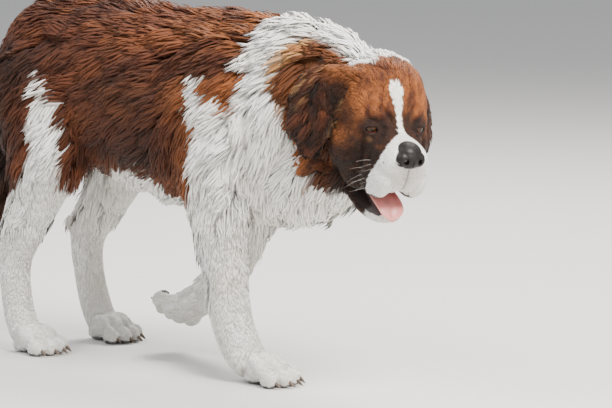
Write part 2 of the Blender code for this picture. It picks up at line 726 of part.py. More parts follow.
def tongue_piece(collection):
    """A flat tongue with a groove down its middle, just over the lower lip."""
    place = head_matrix()
    rows = [
        (-0.070, -0.138, 0.026, 0.006),
        (-0.020, -0.148, 0.031, 0.007),
        (0.035, -0.154, 0.033, 0.007),
        (0.066, -0.160, 0.031, 0.006),
        (0.082, -0.172, 0.024, 0.005),
        (0.087, -0.184, 0.010, 0.004),
    ]
    rings = []
    for x, z, wide, thick in smooth_rows(rows, 2):
        ring = []
        for k in range(14):
            a = 2 * math.pi * k / 14
            groove = 0.0035 * math.exp(-((math.cos(a) / 0.28) ** 2)) if math.sin(a) > 0 else 0
            ring.append(place @ Vector((x, wide * math.cos(a), z + thick * math.sin(a) - groove)))
        rings.append(ring)
    return loft("tongue", rings, collection)


# The regions that the whole body is parted into, each as a box that keeps or cuts
def region(name, collection, grow):
    """A box for the neck, a leg or the tail, larger by grow where it meets the torso."""
    if name == "neck":
        lean = Matrix.Translation((0.330, 0, 0.580)) @ Matrix.Rotation(math.radians(-14), 4, "Y")
        return box("region", (-grow, -0.5, -0.8), (1.0, 0.5, 0.8), collection, lean)
    if name == "face":
        low = (face_cut[0] - grow, -0.4, face_cut[1] - grow)
        return box("region", low, (0.5, 0.4, 0.5), collection, head_matrix())
    if name == "tail":
        return box("region", (-1.0, -0.5, -0.5), (tail_cut + grow, 0.5, 1.5), collection)
    rear, front, top = (tail_cut, -0.18, hind_leg_cut) if "hind" in name else (-0.18, 0.60, front_leg_cut)
    low, high = (-0.5, grow) if name.endswith("R") else (-grow, 0.5)
    return box("region", (rear, low, -0.5), (front, high, top + grow), collection)


def remove(obj):
    bpy.data.objects.remove(obj)


def coloured(obj):
    """A plain material of the node's own, named for it."""
    material = bpy.data.materials.new(obj.name)
    material.use_nodes = True
    shader = material.node_tree.nodes["Principled BSDF"]
    colour = node_colours[obj.name.split("_")[0]]
    shader.inputs["Base Color"].default_value = (*colour, 1)
    shader.inputs["Roughness"].default_value = 0.3 if obj.name[:3] in ("eye", "nos", "ton") else 0.8
    material.diffuse_color = (*colour, 1)
    obj.data.materials.clear()
    obj.data.materials.append(material)


def placed(objects):
    """Moves everything so that the middle of its bounding box is over the origin."""
    corners = np.array([v.co for obj in objects for v in obj.data.vertices])
    middle = (corners.min(axis=0) + corners.max(axis=0)) / 2
    move = Vector((-middle[0], -middle[1], 0))
    for obj in objects:
        obj.data.transform(Matrix.Translation(move))
    return move


def on_coat(spot, normal):
    """Whether a lock may root at a spot: not under a foot, and not beside the face."""
    local = head_matrix().inverted() @ Vector(spot)
    beside_face = local.x > face_cut[0] - 0.035 and local.z > face_cut[1] - 0.02
    return spot[2] > 0.01 and not beside_face


def main():
    for obj in list(bpy.data.objects):
        bpy.data.objects.remove(obj)
    collection = bpy.data.collections.new("saint_bernard")
    bpy.context.scene.collection.children.link(collection)
    pieces = body_pieces(collection) + leg_pieces(collection) + [tail_piece(collection)]
    body = fused("body", pieces, body_voxel, 5, 400000, collection)
    body = fused("body", [grown(body, coat_share)], body_voxel, 2, body_triangles, collection)
    boolean(body, "DIFFERENCE", [box("below", (-2, -2, -1), (2, 2, 0), collection)])
    tree = BVHTree.FromObject(body, bpy.context.evaluated_depsgraph_get())

    # The head with its eyes, nose and ears
    head = fused("head", skull_pieces(collection), head_voxel, 3, head_triangles, collection)
    boolean(head, "DIFFERENCE", face_cutters(collection), "EXACT")
    nodes = {"eye_R": eye(-1, collection), "eye_L": eye(1, collection)}
    nodes["nose"], whole_nose = nose(collection)
    nodes["ear_R"] = ear(-1, collection)
    nodes["ear_L"] = ear(1, collection)
    jaw = fused("jaw", jaw_pieces(collection), head_voxel, 2, 300, collection)
    tongue = tongue_piece(collection)
    inset = ("eye_R", "eye_L", "ear_R", "ear_L")
    cutters = [whole_nose] + [fat_copy(nodes[name], collection) for name in inset]
    boolean(head, "DIFFERENCE", cutters, "EXACT")
    nodes["head"] = boolean(head, "INTERSECT", [region("face", collection, -gap / 2)], "EXACT")
    cutters = [fat_copy(head, collection)]
    boolean(jaw, "INTERSECT", [region("face", collection, -gap / 2)], "EXACT")
    nodes["jaw"] = boolean(jaw, "DIFFERENCE", cutters, "EXACT")
    cutters = [fat_copy(nodes[name], collection) for name in ("head", "jaw")]
    nodes["tongue"] = boolean(tongue, "DIFFERENCE", cutters, "EXACT")

    # The coat joined to the body, and the whole parted by thin cuts
    random = np.random.default_rng(lock_seed)
    spots = spread_points(body, random, lambda spot, normal: on_coat(spot, normal))
    boolean(body, "UNION", locks_for(spots, tree, collection))
    boolean(body, "DIFFERENCE", [box("below", (-2, -2, -1), (2, 2, 0), collection)])
    limbs = ("neck", "tail", "front_leg_R", "front_leg_L", "hind_leg_R", "hind_leg_L")
    for name in limbs:
        keep = region(name, collection, -gap / 2)
        nodes[name] = boolean(copy_of(body, name, collection), "INTERSECT", [keep])
    cutters = [region(name, collection, gap / 2) for name in limbs]
    nodes["torso"] = boolean(body, "DIFFERENCE", cutters)
    boolean(nodes["neck"], "DIFFERENCE", [region("face", collection, gap / 2)])
    cutters = [fat_copy(nodes[name], collection, 2 * gap) for name in ("ear_R", "ear_L")]
    boolean(nodes["neck"], "DIFFERENCE", cutters)
    for name, obj in nodes.items():
        largest_body(mended(obj))
        obj.name = name
        obj.data.name = name
        coloured(obj)
    return placed(list(nodes.values()))


moved_by = main()
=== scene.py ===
# A long-coated Saint Bernard in a slow walk: skin, coat, eyes, nose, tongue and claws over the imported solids.
# Places are metres in the dog's own frame and are moved onto the solids at the end. +X is forward, +Y its left.
import math

import bmesh
import bpy
import numpy as np
from mathutils import Matrix, Vector
from mathutils.bvhtree import BVHTree
from mathutils.kdtree import KDTree


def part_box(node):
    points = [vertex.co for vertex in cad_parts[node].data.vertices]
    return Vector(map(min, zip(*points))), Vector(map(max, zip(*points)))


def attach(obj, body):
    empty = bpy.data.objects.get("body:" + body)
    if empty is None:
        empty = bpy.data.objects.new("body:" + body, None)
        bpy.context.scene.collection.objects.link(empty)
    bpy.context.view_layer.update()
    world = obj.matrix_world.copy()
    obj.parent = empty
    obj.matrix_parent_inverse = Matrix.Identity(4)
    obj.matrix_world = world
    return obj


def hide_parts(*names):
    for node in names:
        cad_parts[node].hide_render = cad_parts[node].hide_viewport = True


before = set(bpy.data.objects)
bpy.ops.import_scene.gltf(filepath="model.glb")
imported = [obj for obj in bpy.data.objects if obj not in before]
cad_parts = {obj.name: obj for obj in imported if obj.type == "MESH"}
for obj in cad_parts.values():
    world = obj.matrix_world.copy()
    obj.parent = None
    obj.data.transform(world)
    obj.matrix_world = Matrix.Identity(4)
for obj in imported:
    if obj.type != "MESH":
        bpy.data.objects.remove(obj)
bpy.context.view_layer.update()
print("frame loaded")

body = {
    "withers": 0.790,
    "croup": 0.818,
    "chestFloor": 0.366,
    "chestHalf": 0.160,
    "rumpHalf": 0.140,
    "frontSpread": 0.098,
    "hindSpread": 0.122,
    "soleCut": 0.005,
    "voxel": 0.0065,
    "pawVoxel": 0.0032,
    "triangles": 190000,
}
head = {
    "place": (0.695, -0.062, 0.583),
    "turn": -25,
    "nod": 22,
    "tilt": -3,
    "eyeGap": 0.1055,
    "eyeball": 0.0162,
    "voxel": 0.0029,
}


# Small tools
def headMatrix():
    turn = Matrix.Rotation(math.radians(head["turn"]), 4, "Z")
    turn @= Matrix.Rotation(math.radians(head["nod"]), 4, "Y")
    return Matrix.Translation(head["place"]) @ turn @ Matrix.Rotation(math.radians(head["tilt"]), 4, "X")


def eyeSpot(side):
    return Vector((-0.003, side * head["eyeGap"] / 2, 0))


def gaze(side):
    # an eye's own frame, looking along +X
    turn = Matrix.Rotation(math.radians(side * 22), 4, "Z") @ Matrix.Rotation(math.radians(3), 4, "Y")
    return headMatrix() @ Matrix.Translation(eyeSpot(side)) @ turn


eyeLow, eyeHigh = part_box("eye_R")
shift = (Vector(eyeLow) + Vector(eyeHigh)) / 2 - headMatrix() @ eyeSpot(-1)
print("solids moved by", [round(v, 4) for v in shift])
headSpace = np.array(headMatrix().inverted())


def toHead(points):
    return points @ headSpace[:3, :3].T + headSpace[:3, 3]


def meshObject(name, points, faces):
    mesh = bpy.data.meshes.new(name)
    mesh.from_pydata([tuple(p) for p in points], [], faces)
    mesh.update()
    obj = bpy.data.objects.new(name, mesh)
    bpy.context.scene.collection.objects.link(obj)
    return obj


def outward(obj):
    shape = bmesh.new()
    shape.from_mesh(obj.data)
    bmesh.ops.recalc_face_normals(shape, faces=shape.faces)
    shape.to_mesh(obj.data)
    shape.free()
    return obj


def smoothRows(rows, steps):
    # a smooth run of rows through the given ones
    rows = np.array(rows, float)
    padded = np.vstack([2 * rows[0] - rows[1], rows, 2 * rows[-1] - rows[-2]])
    made = []
    for a, b, c, d in zip(padded, padded[1:], padded[2:], padded[3:]):
        for t in np.linspace(0, 1, steps, endpoint=False):
            square = (2 * a - 5 * b + 4 * c - d) * t**2
            made.append(0.5 * (2 * b + (c - a) * t + square + (3 * b - a - 3 * c + d) * t**3))
    made.append(rows[-1])
    return np.array(made)


def loft(rings):
    count = len(rings[0])
    faces = [tuple(reversed(range(count)))]
    for k in range(len(rings) - 1):
        for i in range(count):
            j = (i + 1) % count
            faces.append((k * count + i, k * count + j, (k + 1) * count + j, (k + 1) * count + i))
    faces.append(tuple(range((len(rings) - 1) * count, len(rings) * count)))
    return [p for ring in rings for p in ring], faces


def trunkLike(stations, place=Matrix.Identity(4), sides=36, steps=4):
    # a station is x, y, top, bottom and half width
    rings = []
    for x, y, top, bottom, half in smoothRows(stations, steps):
        ring = []
        for k in range(sides):
            a = 2 * math.pi * k / sides
            height = (top + bottom) / 2 + (top - bottom) / 2 * math.cos(a)
            ring.append(place @ Vector((x, y + half * math.sin(a), height)))
        rings.append(ring)
    return loft(rings)


def limb(joints, sides=20, steps=4):
    # a joint is x, y, z, half depth fore and aft, and half width across
    rows = smoothRows(joints, steps)
    rings = []
    for k, row in enumerate(rows):
        ahead = Vector(rows[min(k + 1, len(rows) - 1)][:3]) - Vector(rows[max(k - 1, 0)][:3])
        ahead.normalize()
        across = Vector((0, 1, 0))
        across = (across - ahead * across.dot(ahead)).normalized()
        fore = across.cross(ahead)
        ring = []
        for i in range(sides):
            a = 2 * math.pi * i / sides
            ring.append(Vector(row[:3]) + fore * row[3] * math.cos(a) + across * row[4] * math.sin(a))
        rings.append(ring)
    return loft(rings)


def ball(centre, radii, place=Matrix.Identity(4), turn=(0, 0, 0), segments=24):
    spin = Matrix.Rotation(math.radians(turn[2]), 4, "Z")
    spin @= Matrix.Rotation(math.radians(turn[1]), 4, "Y")
    spin @= Matrix.Rotation(math.radians(turn[0]), 4, "X")
    where = place @ Matrix.Translation(centre) @ spin
    rings = []
    for k in range(1, segments // 2):
        a = math.pi * k / (segments // 2)
        ring = []
        for i in range(segments):
            b = 2 * math.pi * i / segments
            spot = (math.sin(a) * math.cos(b), math.sin(a) * math.sin(b), math.cos(a))
            ring.append(where @ Vector([radii[n] * spot[n] for n in range(3)]))
        rings.append(ring)
    return loft(rings)


def joined(name, shapes):
    points, faces = [], []
    for shapePoints, shapeFaces in shapes:
        start = len(points)
        points += shapePoints
        faces += [tuple(start + i for i in face) for face in shapeFaces]
    return outward(meshObject(name, points, faces))


def applied(obj):
    graph = bpy.context.evaluated_depsgraph_get()
    obj.data = bpy.data.meshes.new_from_object(obj.evaluated_get(graph))
    obj.modifiers.clear()
    return obj


def fused(name, shapes, voxel, smoothing):
    obj = joined(name, shapes)
    remesh = obj.modifiers.new("one skin", "REMESH")
    remesh.mode = "VOXEL"
    remesh.voxel_size = voxel
    smooth = obj.modifiers.new("soft joins", "SMOOTH")
    smooth.iterations = smoothing
    smooth.factor = 0.5
    return applied(obj)


def boolean(obj, operation, other):
    change = obj.modifiers.new(operation.lower(), "BOOLEAN")
    change.operation = operation
    change.object = other
    change.solver = "MANIFOLD"
    applied(obj)
    bpy.data.objects.remove(other)
    return obj


def pointsOf(obj):
    points = np.empty(len(obj.data.vertices) * 3)
    obj.data.vertices.foreach_get("co", points)
    return points.reshape(-1, 3)


def normalsOf(obj):
    normals = np.empty(len(obj.data.vertices) * 3, np.float32)
    obj.data.vertex_normals.foreach_get("vector", normals)
    return normals.reshape(-1, 3).astype(float)


def setPoints(obj, points):
    obj.data.vertices.foreach_set("co", points.astype(np.float32).ravel())
    obj.data.update()


def unit(vectors):
    return vectors / np.maximum(np.linalg.norm(vectors, axis=-1, keepdims=True), 1e-12)


def blend(a, b, share):
    share = np.asarray(share)
    if share.ndim:
        share = share[:, None]
    return a * (1 - share) + b * share


def finished(obj, material):
    obj.data.materials.clear()
    obj.data.materials.append(material)
    obj.data.polygons.foreach_set("material_index", np.zeros(len(obj.data.polygons), np.int32))
    obj.data.shade_smooth()
    return obj


def rise(value, low, high):
    t = np.clip((value - low) / (high - low), 0, 1)
    return t * t * (3 - 2 * t)


def ripple(points, scale, seed, waves=7):
    # soft seeded noise about -1 to 1 from a few crossing waves
    random = np.random.default_rng(seed)
    total = np.zeros(len(points))
    for _ in range(waves):
        way = unit(random.normal(size=3)) * random.uniform(0.6, 1.6)
        bent = points @ way * (2 * math.pi / scale) + random.uniform(0, 6.3)
        side = unit(random.normal(size=3))
        total += np.sin(bent + 1.3 * np.sin(points @ side * (2 * math.pi / scale) * 0.7))
    return total / waves * 1.6


# The skin, from the same lofts as the solids
def bodyShapes():
    top, croup, floor = body["withers"], body["croup"], body["chestFloor"]
    wide, rump = body["chestHalf"], body["rumpHalf"]
    trunk = trunkLike(
        [
            (-0.424, 0, croup - 0.10, 0.600, rump * 0.35),
            (-0.388, 0, croup - 0.035, 0.520, rump * 0.76),
            (-0.318, 0, croup - 0.004, 0.475, rump * 0.98),
            (-0.220, 0, croup, 0.450, rump),
            (-0.080, 0, top + 0.010, 0.415, wide * 0.94),
            (0.050, 0, top - 0.002, 0.382, wide),
            (0.170, 0, top, floor, wide),
            (0.270, 0, top - 0.002, floor, wide * 0.96),
            (0.350, 0, top - 0.020, floor + 0.015, wide * 0.82),
            (0.410, 0, top - 0.070, floor + 0.060, wide * 0.55),
        ]
    )
    neck = trunkLike(
        [
            (0.240, 0.000, top - 0.010, floor + 0.020, 0.140),
            (0.340, -0.002, top - 0.008, floor + 0.004, 0.134),
            (0.430, -0.010, top - 0.010, floor + 0.008, 0.116),
            (0.510, -0.024, top - 0.020, floor + 0.024, 0.100),
            (0.570, -0.040, top - 0.044, floor + 0.080, 0.082),
            (0.610, -0.056, top - 0.080, floor + 0.140, 0.062),
        ]
    )
    tail = limb(
        [
            (-0.375, 0, 0.750, 0.045, 0.050),
            (-0.440, 0, 0.712, 0.040, 0.042),
            (-0.488, 0, 0.620, 0.034, 0.034),
            (-0.512, 0, 0.500, 0.030, 0.028),
            (-0.524, 0, 0.370, 0.024, 0.023),
            (-0.524, 0, 0.270, 0.018, 0.017),
            (-0.514, 0, 0.205, 0.010, 0.010),
        ]
    )
    return [trunk, neck, tail]


legs = {
    "frontR": [
        (0.235, -0.110, 0.560, 0.085, 0.052),
        (0.232, -0.112, 0.460, 0.080, 0.052),
        (0.236, -0.108, 0.380, 0.066, 0.050),
        (0.246, -0.102, 0.290, 0.056, 0.047),
        (0.256, -0.098, 0.210, 0.050, 0.045),
        (0.260, -0.098, 0.165, 0.050, 0.046),
        (0.276, -0.098, 0.110, 0.046, 0.046),
        (0.306, -0.098, 0.060, 0.044, 0.046),
        (0.330, -0.098, 0.035, 0.036, 0.042),
    ],
    "frontL": [
        (0.225, 0.108, 0.560, 0.085, 0.052),
        (0.205, 0.108, 0.460, 0.080, 0.052),
        (0.172, 0.104, 0.380, 0.066, 0.050),
        (0.132, 0.098, 0.290, 0.054, 0.046),
        (0.100, 0.092, 0.212, 0.048, 0.044),
        (0.070, 0.090, 0.172, 0.046, 0.044),
        (0.020, 0.088, 0.136, 0.040, 0.044),
        (-0.020, 0.086, 0.118, 0.038, 0.042),
    ],
    "hindR": [
        (-0.330, -0.085, 0.680, 0.120, 0.060),
        (-0.285, -0.108, 0.560, 0.122, 0.062),
        (-0.266, -0.122, 0.460, 0.092, 0.056),
        (-0.296, -0.126, 0.370, 0.066, 0.048),
        (-0.344, -0.126, 0.280, 0.050, 0.040),
        (-0.376, -0.124, 0.215, 0.044, 0.037),
        (-0.376, -0.122, 0.150, 0.036, 0.035),
        (-0.364, -0.122, 0.085, 0.036, 0.037),
        (-0.344, -0.122, 0.040, 0.034, 0.038),
    ],
    "hindL": [
        (-0.330, 0.085, 0.680, 0.120, 0.060),
        (-0.285, 0.108, 0.560, 0.122, 0.062),
        (-0.262, 0.122, 0.460, 0.092, 0.056),
        (-0.286, 0.124, 0.380, 0.066, 0.048),
        (-0.336, 0.124, 0.305, 0.050, 0.040),
        (-0.378, 0.122, 0.240, 0.044, 0.037),
        (-0.372, 0.120, 0.160, 0.036, 0.035),
        (-0.352, 0.118, 0.090, 0.036, 0.037),
        (-0.330, 0.118, 0.042, 0.034, 0.038),
    ],
}


def legShapes():
    made = [limb(joints) for joints in legs.values()]
    made.append(ball((-0.408, -0.125, 0.228), (0.024, 0.020, 0.036), turn=(0, -12, 0)))
    made.append(ball((-0.412, 0.122, 0.262), (0.024, 0.020, 0.036), turn=(0, -18, 0)))
    for side in (-1, 1):
        made.append(ball((0.235, side * 0.098, 0.600), (0.095, 0.058, 0.150), turn=(0, 15, 0)))
        made.append(ball((-0.302, side * 0.090, 0.590), (0.122, 0.064, 0.150), turn=(0, 20, 0)))
    return made


def pawPlaces():
    s, h, cut = body["frontSpread"], body["hindSpread"], -body["soleCut"]
    fold = Matrix.Rotation(math.radians(160), 4, "Y") @ Matrix.Rotation(math.radians(35), 4, "X")
    hanging = Matrix.Translation((-0.005, s - 0.012, 0.122)) @ fold @ Matrix.Translation((0, 0, -0.034))
    return {
        "frontR": Matrix.Translation((0.335, -s, cut)),
        "hindR": Matrix.Translation((-0.350, -h, cut)),
        "hindL": Matrix.Translation((-0.338, h - 0.004, cut)),
        "frontL": hanging,
    }


paw = {"toeGap": 0.0255, "reach": 0.092, "knuckle": (0.034, 0.0150, 0.022), "tip": (0.025, 0.0146, 0.021)}


def pawShapes():
    made = []
    for name, place in pawPlaces().items():
        for k in range(4):
            side = k - 1.5
            reach = paw["reach"] - 0.008 * side * side
            across = paw["toeGap"] * side
            made.append(ball((reach - 0.034, across * 0.9, 0.044), paw["knuckle"], place, (0, 28, side * 4)))
            made.append(ball((reach, across * 1.06, 0.0235), paw["tip"], place, (0, 10, side * 5)))
        made.append(ball((0.030, 0, 0.040), (0.054, 0.042, 0.033), place, (0, 16, 0)))
        made.append(ball((0.010, 0, 0.022), (0.034, 0.034, 0.023), place))
        made.append(limb(smoothRows(legs[name], 2)[-7:]))
    return made


skull = [
    (-0.195, 0, 0.050, -0.085, 0.068),
    (-0.165, 0, 0.095, -0.120, 0.095),
    (-0.120, 0, 0.121, -0.134, 0.104),
    (-0.075, 0, 0.127, -0.136, 0.106),
    (-0.035, 0, 0.110, -0.134, 0.098),
    (-0.006, 0, 0.066, -0.128, 0.084),
    (0.014, 0, 0.024, -0.124, 0.070),
    (0.040, 0, 0.006, -0.118, 0.062),
    (0.072, 0, 0.001, -0.112, 0.060),
    (0.092, 0, -0.008, -0.100, 0.049),
    (0.103, 0, -0.024, -0.082, 0.030),
]
jaw = [
    (-0.155, 0, -0.100, -0.170, 0.056),
    (-0.110, 0, -0.118, -0.182, 0.056),
    (-0.060, 0, -0.142, -0.196, 0.055),
    (0.000, 0, -0.158, -0.206, 0.052),
    (0.045, 0, -0.166, -0.204, 0.042),
    (0.070, 0, -0.170, -0.194, 0.026),
]
ear = {
    "splay": 28,
    "rows": [
        (-0.080, 0.070, 0.096, 0.018, 0.010, 0.006),
        (-0.096, 0.100, 0.086, 0.032, 0.009, 0.010),
        (-0.110, 0.128, 0.052, 0.050, 0.007, 0.015),
        (-0.112, 0.142, 0.006, 0.059, 0.0060, 0.016),
        (-0.108, 0.146, -0.040, 0.056, 0.0055, 0.013),
        (-0.098, 0.144, -0.082, 0.040, 0.0050, 0.009),
        (-0.092, 0.139, -0.114, 0.015, 0.0040, 0.004),
    ],
}


def earShape(side):
    place = headMatrix()
    splay = math.radians(ear["splay"])
    fore = Vector((math.cos(splay), -math.sin(splay), 0))
    outer = Vector((math.sin(splay), math.cos(splay), 0))
    rings = []
    for x, y, z, wide, thick, bow in smoothRows(ear["rows"], 4):
        if side > 0:
            y -= 0.022 * min(1.0, max(0.0, (z + 0.06) / 0.12))
            z = 0.86 * z - 0.018
        ring = []
        for k in range(24):
            a = 2 * math.pi * k / 24
            wave = 0.0035 * math.sin(5 * math.cos(a) + 30 * z) * min(1, abs(z - 0.1) / 0.08)
            out = thick * math.sin(a) - bow * math.cos(a) ** 2 + wave
            here = Vector((x, y, z)) + fore * wide * math.cos(a) + outer * out
            ring.append(place @ Vector((here[0], side * here[1], here[2])))
        rings.append(ring)
    return loft(rings)


def headShapes():
    place = headMatrix()
    made = [trunkLike(skull, place), trunkLike(jaw, place, 24)]
    for side in (-1, 1):
        forms = [
            ((0.042, 0.040, -0.092), (0.058, 0.030, 0.050), (0, -6, 0)),  # flew
            ((0.062, 0.018, -0.080), (0.040, 0.030, 0.040), (0, 0, 0)),  # front of the lip
            ((-0.020, 0.056, -0.112), (0.052, 0.026, 0.040), (0, 8, -14)),  # lip
            ((-0.055, 0.066, -0.060), (0.070, 0.044, 0.068), (0, 0, 0)),  # cheek
            ((-0.014, 0.042, 0.036), (0.030, 0.028, 0.017), (0, 40, 0)),  # brow
            ((-0.088, 0.044, -0.146), (0.040, 0.018, 0.034), (0, 20, 0)),  # corner of the mouth
            ((-0.0045, 0.0528, 0), (0.0210, 0.0222, 0.0200), (0, 0, 0)),  # lids
        ]
        for centre, radii, turn in forms:
            centre = (centre[0], side * centre[1], centre[2])
            made.append(ball(centre, radii, place, (turn[0], turn[1], side * turn[2])))
        made.append(earShape(side))
    return made


# The lie of the coat, by zone, for the dog's right side and mirrored.
# place, way, length, tuft width, lift, clump, how free the tip hangs, and how far the skin is sunk below the solid
coat = {
    "torso": [
        ((0.10, -0.02, 0.79), (-1.0, -0.15, -0.05), 0.075, 0.0068, 0.017, 0.030, 0.0, 0.0),
        ((-0.15, -0.02, 0.79), (-1.0, -0.15, -0.05), 0.072, 0.0068, 0.016, 0.030, 0.0, 0.0),
        ((-0.38, -0.02, 0.79), (-1.0, -0.10, -0.30), 0.078, 0.0068, 0.018, 0.030, 0.0, 0.0),
        ((0.05, -0.15, 0.66), (-1.0, 0.00, -0.45), 0.080, 0.0070, 0.017, 0.030, 0.0, 0.0),
        ((-0.15, -0.14, 0.66), (-1.0, 0.00, -0.50), 0.080, 0.0070, 0.016, 0.030, 0.0, 0.0),
        ((0.02, -0.15, 0.50), (-0.8, 0.00, -0.80), 0.085, 0.0070, 0.019, 0.032, 0.1, 0.0),
        ((-0.14, -0.14, 0.50), (-0.8, 0.00, -0.80), 0.080, 0.0070, 0.018, 0.032, 0.1, 0.0),
        ((0.02, -0.08, 0.40), (-0.6, 0.00, -0.90), 0.075, 0.0068, 0.020, 0.028, 0.4, 0.0),
        ((-0.15, -0.08, 0.44), (-0.6, 0.00, -0.90), 0.070, 0.0068, 0.018, 0.028, 0.4, 0.0),
        ((-0.34, -0.15, 0.64), (-0.45, 0.00, -0.90), 0.080, 0.0070, 0.018, 0.030, 0.0, 0.0),
        ((-0.30, -0.15, 0.50), (-0.35, 0.00, -0.95), 0.070, 0.0078, 0.015, 0.028, 0.0, 0.0),
        ((-0.42, -0.08, 0.66), (-0.45, 0.00, -0.95), 0.090, 0.0068, 0.024, 0.032, 0.3, 0.0),
        ((-0.42, -0.10, 0.50), (-0.50, 0.00, -0.90), 0.095, 0.0068, 0.024, 0.032, 0.4, 0.0),
        ((-0.38, -0.11, 0.38), (-0.55, 0.00, -0.85), 0.060, 0.0070, 0.014, 0.024, 0.4, 0.001),
    ],
    "chest": [
        ((0.30, -0.02, 0.80), (-1.0, -0.30, 0.00), 0.085, 0.0068, 0.020, 0.030, 0.0, 0.0),
        ((0.25, -0.15, 0.66), (-0.8, 0.00, -0.60), 0.080, 0.0068, 0.019, 0.030, 0.0, 0.0),
        ((0.24, -0.16, 0.52), (-0.5, 0.00, -0.90), 0.080, 0.0068, 0.018, 0.030, 0.0, 0.0),
        ((0.20, -0.05, 0.37), (-0.5, 0.00, -0.90), 0.075, 0.0068, 0.020, 0.028, 0.4, 0.0),
        ((0.36, -0.06, 0.42), (-0.25, 0.00, -1.0), 0.090, 0.0068, 0.024, 0.030, 0.5, 0.0),
        ((0.40, -0.11, 0.56), (-0.45, 0.00, -0.90), 0.090, 0.0068, 0.022, 0.032, 0.1, 0.0),
        ((0.24, -0.12, 0.40), (-0.3, 0.00, -1.0), 0.050, 0.0066, 0.012, 0.022, 0.1, 0.002),
    ],
    "neck": [
        ((0.42, -0.03, 0.78), (-0.9, -0.45, -0.20), 0.085, 0.0078, 0.026, 0.030, 0.0, 0.0),
        ((0.44, -0.10, 0.70), (-0.8, -0.10, -0.70), 0.075, 0.0074, 0.022, 0.028, 0.0, 0.0),
        ((0.53, -0.13, 0.60), (-0.60, 0.00, -0.85), 0.080, 0.0074, 0.020, 0.028, 0.1, 0.0),
        ((0.50, -0.06, 0.46), (-0.25, 0.00, -1.0), 0.085, 0.0078, 0.026, 0.030, 0.5, 0.0),
        ((0.56, -0.05, 0.76), (-1.0, -0.20, -0.10), 0.050, 0.0060, 0.016, 0.022, 0.0, 0.0),
    ],
    "legs": [
        ((-0.24, -0.13, 0.38), (-0.20, 0.00, -1.0), 0.030, 0.0042, 0.0036, 0.018, 0.0, 0.003),
        ((-0.37, -0.12, 0.22), (0.10, 0.00, -1.0), 0.022, 0.0036, 0.0028, 0.015, 0.0, 0.003),
        ((-0.36, -0.12, 0.12), (0.10, 0.00, -1.0), 0.017, 0.0033, 0.0022, 0.012, 0.0, 0.002),
        ((-0.30, -0.12, 0.04), (0.90, 0.00, -0.40), 0.013, 0.0029, 0.0018, 0.010, 0.0, 0.0015),
        ((0.26, -0.12, 0.30), (-0.10, 0.00, -1.0), 0.030, 0.0042, 0.0036, 0.018, 0.0, 0.003),
        ((0.28, -0.12, 0.18), (0.00, 0.00, -1.0), 0.022, 0.0036, 0.0028, 0.015, 0.0, 0.003),
        ((0.34, -0.11, 0.09), (0.40, 0.00, -1.0), 0.016, 0.0032, 0.0020, 0.011, 0.0, 0.002),
        ((0.40, -0.10, 0.03), (0.90, 0.00, -0.40), 0.012, 0.0028, 0.0016, 0.010, 0.0, 0.0015),
        ((0.19, -0.11, 0.32), (-0.55, 0.00, -0.90), 0.060, 0.0052, 0.012, 0.020, 0.5, 0.002),
        ((0.20, -0.11, 0.22), (-0.45, 0.00, -0.90), 0.044, 0.0046, 0.008, 0.018, 0.4, 0.003),
        ((0.22, -0.11, 0.12), (-0.10, 0.00, -1.0), 0.022, 0.0036, 0.0030, 0.012, 0.1, 0.003),
        ((0.13, -0.12, 0.24), (-0.60, 0.00, -0.60), 0.028, 0.0042, 0.0036, 0.016, 0.0, 0.003),
        ((0.06, -0.09, 0.26), (-0.60, 0.00, -0.80), 0.050, 0.0050, 0.010, 0.020, 0.5, 0.003),
        ((0.02, -0.10, 0.13), (-1.0, 0.00, -0.20), 0.020, 0.0036, 0.0028, 0.013, 0.0, 0.003),
        ((-0.10, -0.10, 0.10), (-1.0, 0.00, -0.10), 0.013, 0.0030, 0.0020, 0.010, 0.0, 0.0015),
    ],
    "tail": [
        ((-0.46, -0.03, 0.70), (-0.60, 0.00, -0.80), 0.075, 0.0074, 0.020, 0.026, 0.2, 0.0),
        ((-0.52, -0.03, 0.55), (-0.25, -0.25, -1.0), 0.095, 0.0076, 0.024, 0.026, 0.3, 0.0),
        ((-0.54, -0.03, 0.38), (-0.20, -0.20, -1.0), 0.095, 0.0076, 0.024, 0.026, 0.4, 0.0),
        ((-0.53, -0.02, 0.24), (0.05, -0.10, -1.0), 0.080, 0.0070, 0.016, 0.022, 0.6, 0.0),
    ],
}
